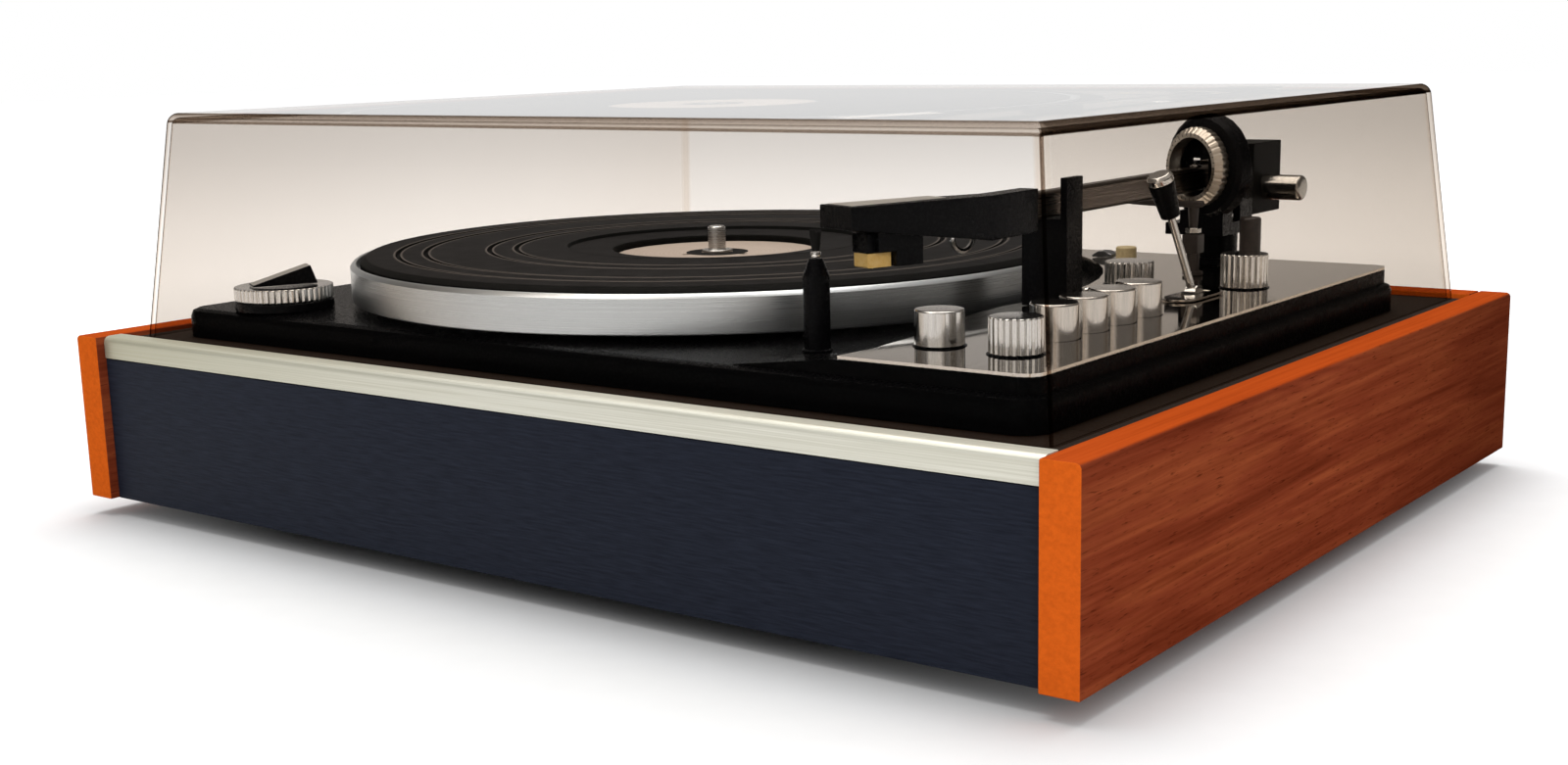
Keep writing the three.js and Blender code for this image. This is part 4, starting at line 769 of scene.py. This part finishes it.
spindle = turned(
    "ground_spindle",
    middle("spindle", 0),
    [(3.55, 44), (3.55, 87.5), (6.0, 87.5), (6.2, 87.7), (6.2, 88.2), (6.0, 88.4)]
    + [(3.75, 88.4), (3.6, 88.6), (3.55, 89), (3.55, 96.9)]
    + arc(2.65, 96.9, 0.9, 0, 90, 4)
    + [(1.0, 97.85)],
    64,
)
wear(spindle, "platter", SPINDLE_STEEL, "polished_steel", "spindle")
# a black ring round the spindle's foot: painted shade where the disc is sunk
recess_shade_ring = turned(
    "spindle_shade_ring",
    middle("centre_disc", 0),
    [(6.4, 87.25), (12.4, 87.25), (12.4, 87.35), (6.4, 87.35), (6.4, 87.25)],
    96,
)
wear(recess_shade_ring, "platter", MAT_RUBBER, "mat_rubber")


# Fluted and plain knobs


# each knob's radius and top in millimetres, and its count of flutes
KNOBS = (
    ("front", 8.2, 90.3, 22),
    ("inner", 9.0, 87.6, 24),
    ("rear", 8.45, 91.4, 22),
    ("plain", 7.7, 90.3, 0),
)


def knob_profile(radius, top, edge):
    """A knob's section: its side, a rounded upper edge and its top face."""
    pairs = [(radius - 0.3, SEAT), (radius, SEAT + 0.3), (radius, top - edge)]
    pairs += arc(radius - edge, top - edge, edge, 0, 90, 4)[1:]
    return pairs + [(0.5, top)]


def cut_flutes(piece, centre, radius, depth, count):
    """Draws three of every eight columns of the side inwards, count times round it."""
    step = FULL_TURN / count

    def column(place):
        across = Vector((place.x - centre.x, place.y - centre.y))
        if across.length < (radius - 0.35) * MM:
            return None
        turn = math.atan2(across.y, across.x) % step
        return round(turn / step * 8) % 8

    for columns, share in (((4, 6), 0.7), ((5,), 1.0)):
        pick(piece, lambda place: column(place) in columns)
        inward = 1 - share * depth / radius
        bpy.ops.transform.resize(value=(inward, inward, 1), center_override=centre)
        bpy.ops.object.mode_set(mode="OBJECT")
    smooth(piece, 40)


for kind, radius, top, flutes in KNOBS:
    node = "knob_" + kind
    centre = middle(node, 0)
    if flutes:
        profile = knob_profile(radius, top, 0.5)
        knob = turned("fluted_" + node, centre, profile, flutes * 8, 40)
        cut_flutes(knob, centre, radius, 0.65, flutes)
    else:
        knob = turned("plain_knob_front", centre, knob_profile(radius, top, 0.6))
    wear(knob, kind + "_knob", KNOB_METAL, "knob_aluminium", node)

# a thin black ring round each knob's foot: painted shade where the knob meets the plate
for kind, radius, top, flutes in KNOBS:
    inner, outer = radius - 1, radius + 0.6
    low, high = PLATE_TOP + 0.05, PLATE_TOP + 0.18
    knob_foot_shade_ring = turned(
        "knob_foot_shade_" + kind,
        middle("knob_" + kind, 0),
        [(inner, low), (outer, low), (outer, high), (inner, high), (inner, low)],
        64,
    )
    wear(knob_foot_shade_ring, "root", BLACK_MOULDING, "black_plastic")

for number in range(1, 5):
    node = f"push_button_{number}"
    cap = turned(
        f"key_cap_{number}",
        middle(node, 0),
        [(8.5, 73.8), (8.5, 75.4), (7.7, 75.4), (7.7, 89.6)]
        + arc(7.1, 89.7, 0.6, 0, 90, 4)
        + [(0.5, 90.3)],
    )
    wear(cap, f"button_{number}", KNOB_METAL, "knob_aluminium", node)

# Speed selector

selector_centre = middle("speed_base", 0)
SELECTOR_RADIUS = 18.6
base = turned(
    "selector_base",
    selector_centre,
    [(4, 71), (4, 73.3), (SELECTOR_RADIUS - 0.3, 73.3), (SELECTOR_RADIUS, 73.6)]
    + [(SELECTOR_RADIUS, 76.5), (SELECTOR_RADIUS - 0.4, 76.9), (0.5, 76.9)],
    128,
)
wear(base, "root", BLACK_MOULDING, "black_plastic", "speed_base")
ring = turned(
    "selector_ring",
    selector_centre,
    [(SELECTOR_RADIUS - 0.4, 77.2), (SELECTOR_RADIUS, 77.5), (SELECTOR_RADIUS, 81.7)]
    + arc(SELECTOR_RADIUS - 0.5, 81.7, 0.5, 0, 90, 3)
    + [(12.2, 82.2), (11.8, 81.9), (0.5, 81.9)],
    48 * 8,
    40,
)
cut_flutes(ring, selector_centre, SELECTOR_RADIUS, 0.55, 48)
wear(ring, "speed_knob", KNOB_METAL, "knob_aluminium", "speed_ring")
pointer = restyled(
    "speed_pointer", "selector_pointer", "speed_knob", BLACK_MOULDING, "black_plastic", 0.45, 3
)
# its broad upper face is foil
pointer.data.materials.append(FOIL)
for face in pointer.data.polygons:
    if face.normal.z > 0.9 and face.area > (5 * MM) ** 2:
        face.material_index = 1

# Cue lever

restyled("cue_slot_plate", "cue_escutcheon", "root", PLATE_METAL, "control_aluminium", 0.2, 2, 40)
restyled("cue_lever", "cue_stem", "cue", STEEL, "polished_steel", 0.0)
restyled("cue_grip", "cue_grip_sleeve", "cue", BLACK_MOULDING, "black_plastic", 0.2, 2, 50)
restyled("cue_cap", "cue_grip_cap", "cue", KNOB_METAL, "knob_aluminium", 0.3, 3, 40)

# Stylus brush

brush = turned(
    "brush_pillar",
    middle("brush_post", 0),
    [(4.8, 73.3), (4.9, 73.5), (4.9, 74.1), (4.7, 74.3), (4.3, 74.4), (4.3, 97.4)]
    + [(4.15, 97.9), (2.3, 102.7), (2.1, 103)],
    64,
)
wear(brush, "root", BLACK_MOULDING, "black_plastic", "brush_post")
ferrule = turned(
    "brush_ferrule_ring",
    middle("brush_ferrule", 0),
    [(1.6, 103.3), (1.7, 103.5), (1.7, 104.1), (1.55, 104.3), (1.7, 104.5), (1.65, 105)],
    48,
)
wear(ferrule, "root", KNOB_METAL, "knob_aluminium", "brush_ferrule")
# each fibre of the tuft is a form of its own in the solid
restyled("brush_bristles", "brush_tuft", "root", BRISTLE, "bristle_fibre", 0.0)

# Arm rest, arm and gimbal

# the upright plane through the middle of the arm
ARM_X = 125.2

rest = refined("arm_rest", "arm_rest_post", 0.25, 2)
# the ledge is a little narrower than its bearing in the solids
rest_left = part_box("arm_rest")[0][0]
pick(rest, lambda place: place.x < rest_left + 0.8 * MM)
bpy.ops.transform.translate(value=(2.4 * MM, 0, 0))
bpy.ops.object.mode_set(mode="OBJECT")
smooth(rest)
wear(rest, "root", BLACK_MOULDING, "black_plastic", "arm_rest")
pillar = turned(
    "arm_column",
    middle("arm_pillar", 0),
    [(12.8, SEAT), (13, 79.5), (13, 81.6), (12.7, 81.9), (7.5, 81.9), (7.5, 91.6), (7.2, 92)]
    + [(3, 92), (3, 96.6)],
    64,
)
wear(pillar, "root", BLACK_MOULDING, "black_plastic", "arm_pillar")
restyled(
    "gimbal_frame", "gimbal_housing", "gimbal", BLACK_MOULDING, "black_plastic", 0.4, 2, 40, 36
)

DIAL_CENTRE = point(125.7, 260, 118.9)
DIAL_TURN = Matrix.Rotation(math.radians(70), 3, "Z") @ Matrix.Rotation(math.radians(90), 3, "Y")


def dial_piece():
    """The force dial: a narrow face, a bright slope out to a fluted rim, and a spigot behind."""
    profile = [(11.2, 0.25), (11.4, 0), (12.9, 0), (15.2, 2.3), (15.2, 5.3), (14.9, 5.7)]
    profile += [(13.1, 5.7), (13.1, 7.5), (12.1, 7.5), (12.1, 5.7), (11.2, 5.7), (11.2, 0.25)]
    piece = turned("force_dial_ring", DIAL_CENTRE, profile, 36 * 8, 40)
    cut_flutes(piece, DIAL_CENTRE, 15.2, 0.45, 36)
    return leaned(piece, DIAL_CENTRE, DIAL_TURN)


wear(dial_piece(), "dial", DIAL_METAL, "dial_silver", "force_dial")


def housing_plate():
    """The housing's black front plate, seen through the ring, with a slot that the bar runs in."""
    plate = turned(
        "housing_front_plate",
        DIAL_CENTRE,
        [(13.1, 8.5), (13.3, 8.7), (13.3, 11.3), (13.1, 11.5), (0.5, 11.5)],
        64,
    )
    leaned(plate, DIAL_CENTRE, DIAL_TURN)
    slot = block("bar_slot", point(ARM_X - 4.6, 240, 106.6), point(ARM_X + 4.6, 285, 121.8))
    cut_away(plate, slot)
    return plate


wear(housing_plate(), "gimbal", BLACK_MOULDING, "black_plastic")
restyled("arm_bar", "arm_bar_drawn", "arm", ARM_METAL, "arm_aluminium", 0.35, 2, 40)
restyled("headshell", "headshell_moulding", "arm", BLACK_MOULDING, "black_plastic", 0.4, 3)
restyled("cartridge", "cartridge_body", "arm", BLACK_MOULDING, "black_plastic", 0.25)
restyled("stylus_holder", "stylus_moulding", "arm", STYLUS_AMBER, "stylus_plastic", 0.15)
restyled("headshell_latch", "latch_wire", "arm", STEEL, "polished_steel", 0.0)
restyled("counterweight", "counterweight_block", "arm", WEIGHT_ENAMEL, "weight_black", 0.8, 3)

thumb_centre = point(ARM_X, 305, 108.4)
thumb = turned(
    "thumb_screw_head",
    thumb_centre,
    [(2, 5.5), (2, 11.8), (4.8, 11.8), (5, 12), (5, 26.6)]
    + arc(3.4, 26.6, 1.6, 0, 90, 5)
    + [(0.5, 28.3)],
    64,
)
leaned(thumb, thumb_centre, Matrix.Rotation(math.radians(90), 3, "Y"))
wear(thumb, "thumb", DARK_STEEL, "polished_steel", "thumb_screw")

# Small parts that only show


def slotted_screw(name, seat, radius, height):
    """A domed screw head with a turned-down rim and a slot, standing on a seat point."""
    profile = [(radius * 0.97, 0), (radius, 0.15), (radius, height * 0.45)]
    profile += arc(0, -radius * 0.9 + height, radius * 0.9, 28, 80, 4)
    head = turned(name, seat, profile, 48)
    slot = block(
        name + "_slot",
        seat + Vector((-radius * 0.75, -0.28, height * 0.55)) * MM,
        seat + Vector((radius * 0.75, 0.28, height * 1.5)) * MM,
    )
    cut_away(head, slot)
    return head


plate_screw = slotted_screw("plate_screw", point(118, 192, PLATE_TOP), 2.3, 1.2)
wear(plate_screw, "root", STEEL, "polished_steel")
bar_screw = slotted_screw("bar_screw", point(ARM_X, 266, 118.7), 2.3, 1.5)
wear(bar_screw, "arm", STEEL, "polished_steel")


def graduations(name, centre, turn, inner, outer, count):
    """Engraved marks round the dial's face: one fine bar, copied round, longer every third."""
    marks = []
    for i in range(count):
        reach = inner if i % 3 == 0 else inner + (outer - inner) * 0.4
        mark = block(
            f"{name}_{i:02d}",
            centre + Vector((reach, -0.14, -0.05)) * MM,
            centre + Vector((outer, 0.14, 0.06)) * MM,
        )
        angle = Matrix.Rotation(FULL_TURN * i / count, 3, "Z")
        marks.append(leaned(mark, centre, turn @ angle))
    deselect()
    for mark in marks:
        mark.select_set(True)
    bpy.context.view_layer.objects.active = marks[0]
    bpy.ops.object.join()
    marks[0].name = name
    return marks[0]


FACE_TURN = DIAL_TURN @ Matrix.Rotation(math.pi, 3, "X")
wear(
    graduations("dial_graduations", DIAL_CENTRE, FACE_TURN, 11.6, 12.9, 36),
    "dial",
    BLACK_MOULDING,
    "black_plastic",
)

# the foil inlay on the headshell's top, narrowing to the rear
SHELL_FRONT = point(102.75, 57.5, 120.3)
SHELL_TURN = Matrix.Rotation(math.radians(-18.8), 3, "Z")
inlay = block(
    "headshell_inlay",
    SHELL_FRONT + Vector((-6.4, 1.6, -0.05)) * MM,
    SHELL_FRONT + Vector((6.4, 40, 0.25)) * MM,
)
pick(inlay, lambda place: place.y > SHELL_FRONT.y + 20 * MM)
bpy.ops.transform.resize(value=(0.72, 1, 1), center_override=SHELL_FRONT)
bpy.ops.object.mode_set(mode="OBJECT")
eased(inlay, 0.1)
smooth(inlay)
wear(leaned(inlay, SHELL_FRONT, SHELL_TURN), "arm", FOIL, "dial_silver")

# Lift, damper and transit fittings


def lift_housing():
    """The lift's guide: a square head on a round stem, and a hexagonal nut round its pin."""
    centre = middle("lift_block", 0)
    head = block(
        "lift_guide",
        centre + Vector((-3.2, -3.2, 87.6)) * MM,
        centre + Vector((3.2, 3.2, 94.8)) * MM,
        0.5,
    )
    bore = turned("lift_bore", centre, [(2.3, 85.5), (2.3, 99)], 32)
    cut_away(head, bore)
    stem = turned(
        "lift_stem",
        centre,
        [(3.7, SEAT), (3.8, 79.5), (3.8, 80.6), (2.4, 80.9), (2.4, 87.4)],
        32,
    )
    nut = turned(
        "lift_nut",
        centre,
        [(2.3, 95), (2.7, 95), (3, 95.3), (3, 96.9), (2.7, 97.2), (2.3, 97.2), (2.3, 95)],
        6,
        20,
    )
    return head, stem, nut


lift_head, lift_stem, lift_nut = lift_housing()
wear(lift_head, "root", MECHANISM, "mechanism_grey", "lift_block")
wear(lift_stem, "root", MECHANISM, "mechanism_grey")
wear(lift_nut, "root", DARK_STEEL, "polished_steel")
rail = refined("lift_rail", "lift_rail_arc", 0.3, 2, 40)
# the pin is slimmer than the bore that it rides in
pin_axis = middle("lift_block", 0)
pick(rail, lambda place: place.z < point(0, 0, 104).z)
bpy.ops.transform.resize(value=(0.5, 0.5, 1), center_override=pin_axis)
bpy.ops.object.mode_set(mode="OBJECT")
smooth(rail)
wear(rail, "lift", MECHANISM, "polished_steel", "lift_rail")
damper = turned(
    "damper_cylinder",
    middle("damper_post", 0),
    [(4, SEAT), (4, 99.6)] + arc(3, 99.6, 1, 0, 90, 4) + [(0.5, 100.6)],
    64,
)
wear(damper, "root", MECHANISM, "mechanism_grey", "damper_post")
transit = turned(
    "transit_screw_head",
    middle("transit_screw", 0),
    [(4.2, SEAT), (4.2, 83.5), (3.8, 83.9), (0.5, 83.9)],
    48,
)
wear(transit, "root", CREAM, "cream_plastic", "transit_screw")
restyled("transit_clip", "transit_spring_clip", "root", MACHINED, "machined_steel", 0.3)

# Floor, light and camera


def floor_piece():
    """A plain white floor that runs on out of sight; it shows white, and keeps its shadows."""
    deselect()
    bpy.ops.mesh.primitive_plane_add(size=12, location=(0, 0, 0))
    piece = bpy.context.object
    piece.name = "studio_floor"
    material, tree, shader = finish("white_paper_floor", "#ededed", 0.95, specular=0.1)
    grain = grained(tree, (60, 60, 60), 3.0)
    patterned(tree, shader, grain, [(0.3, "#ececec"), (0.7, "#eeeeee")])
    rays = add(tree, "LightPath", out=None)
    seen = add(
        tree,
        "Math",
        {0: rays["Is Camera Ray"], 1: rays["Is Transmission Ray"]},
        operation="MAXIMUM",
    )
    either = add(tree, "Math", {0: seen, 1: rays["Is Glossy Ray"]}, operation="MAXIMUM")
    # the lamps' light falls away from the object, and the glow makes up for it
    place = add(tree, "TexCoord", out="Object")
    distance = add(tree, "VectorMath", {0: place}, operation="LENGTH", out="Value")
    glow_here = add(
        tree,
        "MapRange",
        {"Value": distance, "From Min": 0.2, "From Max": 0.9, "To Min": 0.0, "To Max": 0.6},
    )
    level = add(tree, "Math", {0: either, 1: glow_here}, operation="MULTIPLY")
    glow = add(tree, "Emission", {"Color": "#ffffff", "Strength": level})
    both = add(tree, "AddShader", {0: shader.outputs[0], 1: glow})
    tree.links.new(both, tree.nodes["Material Output"].inputs["Surface"])
    piece.data.materials.append(material)


floor_piece()


def lamp(name, place, target, size, power):
    """A soft, square, white lamp aimed at a point: metres and watts."""
    data = bpy.data.lights.new(name, "AREA")
    data.shape = "SQUARE"
    data.size = size
    data.energy = power
    made = bpy.data.objects.new(name, data)
    bpy.context.scene.collection.objects.link(made)
    made.location = place
    direction = Vector(target) - Vector(place)
    made.rotation_euler = direction.to_track_quat("-Z", "Y").to_euler()
    return made


lamp("overhead_softbox", (-0.2, 0.3, 1.9), (0, 0, 0.05), 1.6, 37)
front_light = lamp("front_softbox", (-0.5, -1.2, 2.0), (0, 0, 0.05), 1.1, 15)
# this one and the next are flagged off the floor, so that the plinth's foot keeps a dark shadow
flag = bpy.data.collections.new("flagged_floor")
flag.objects.link(bpy.data.objects["studio_floor"])
flag.collection_objects[0].light_linking.link_state = "EXCLUDE"
front_light.light_linking.receiver_collection = flag
near_side = lamp("near_side_softbox", (0.85, -0.95, 0.55), (0.2, -0.15, 0.05), 0.6, 6)
near_side.visible_glossy = False
near_side.light_linking.receiver_collection = flag

world = bpy.data.worlds.new("white_studio")
bpy.context.scene.world = world
world.use_nodes = True
sky = world.node_tree
background = sky.nodes["Background"]
rays = add(sky, "LightPath", out=None)
seen = add(
    sky,
    "Math",
    {0: rays["Is Camera Ray"], 1: rays["Is Transmission Ray"]},
    operation="MAXIMUM",
)
# a room round the white sweep: mirrors show it bright in front, like a window, and dim elsewhere
direction = add(sky, "TexCoord", out="Generated")
facing_window = add(
    sky,
    "VectorMath",
    {0: direction, 1: (0.19, -0.95, 0.25)},
    operation="DOT_PRODUCT",
    out="Value",
)
window = add(
    sky,
    "MapRange",
    {"Value": facing_window, "From Min": 0.74, "From Max": 0.9, "To Min": 0.32, "To Max": 1.2},
)
facing_back = add(
    sky,
    "VectorMath",
    {0: direction, 1: (-0.59, 0.79, 0.1)},
    operation="DOT_PRODUCT",
    out="Value",
)
height = add(sky, "SeparateXYZ", {0: direction}, out="Z")
behind = add(sky, "MapRange", {"Value": facing_back, "From Min": 0.35, "From Max": 0.8})
low_down = add(
    sky,
    "MapRange",
    {"Value": height, "From Min": 0.08, "From Max": 0.26, "To Min": 0.86, "To Max": 0.34},
)
backdrop = add(sky, "Math", {0: behind, 1: low_down}, operation="MULTIPLY")
ceiling = add(
    sky,
    "MapRange",
    {"Value": height, "From Min": 0.35, "From Max": 0.9, "To Min": 0.0, "To Max": 0.9},
)
front = add(sky, "Math", {0: window, 1: ceiling}, operation="MAXIMUM")
room = add(sky, "Math", {0: front, 1: backdrop}, operation="MAXIMUM")
mirrored = add(sky, "Math", {0: rays["Glossy Depth"], 1: 0.5}, operation="GREATER_THAN")
either = add(sky, "Math", {0: seen, 1: rays["Is Glossy Ray"]}, operation="MAXIMUM")
# the room is darker low down, so that little light creeps under the plinth
ambient = add(
    sky,
    "MapRange",
    {"Value": height, "From Min": 0.0, "From Max": 0.5, "To Min": 0.06, "To Max": 0.55},
)
plain = add(sky, "Mix", {0: either, 2: ambient, 3: 1.0}, data_type="FLOAT")
level = add(sky, "Mix", {0: mirrored, 2: plain, 3: room}, data_type="FLOAT")
sky.links.new(level, background.inputs["Strength"])
background.inputs["Color"].default_value = (1, 1, 1, 1)

# place, turn, lens and shift were fitted to the plinth's and the platter's outlines
camera_data = bpy.data.cameras.new("studio_camera")
camera = bpy.data.objects.new("studio_camera", camera_data)
bpy.context.scene.collection.objects.link(camera)
camera_data.sensor_width = 36
camera_data.lens = 43.72
camera_data.shift_x = -0.00988
camera_data.shift_y = 0.0291
camera_data.clip_start = 0.01
camera.location = point(443.21, -419.88, 172.0)
camera.rotation_euler = Euler(
    (math.radians(78.323), math.radians(1.265), math.radians(36.458)), "XYZ"
)
bpy.context.scene.camera = camera
bpy.context.scene.view_settings.view_transform = "Standard"
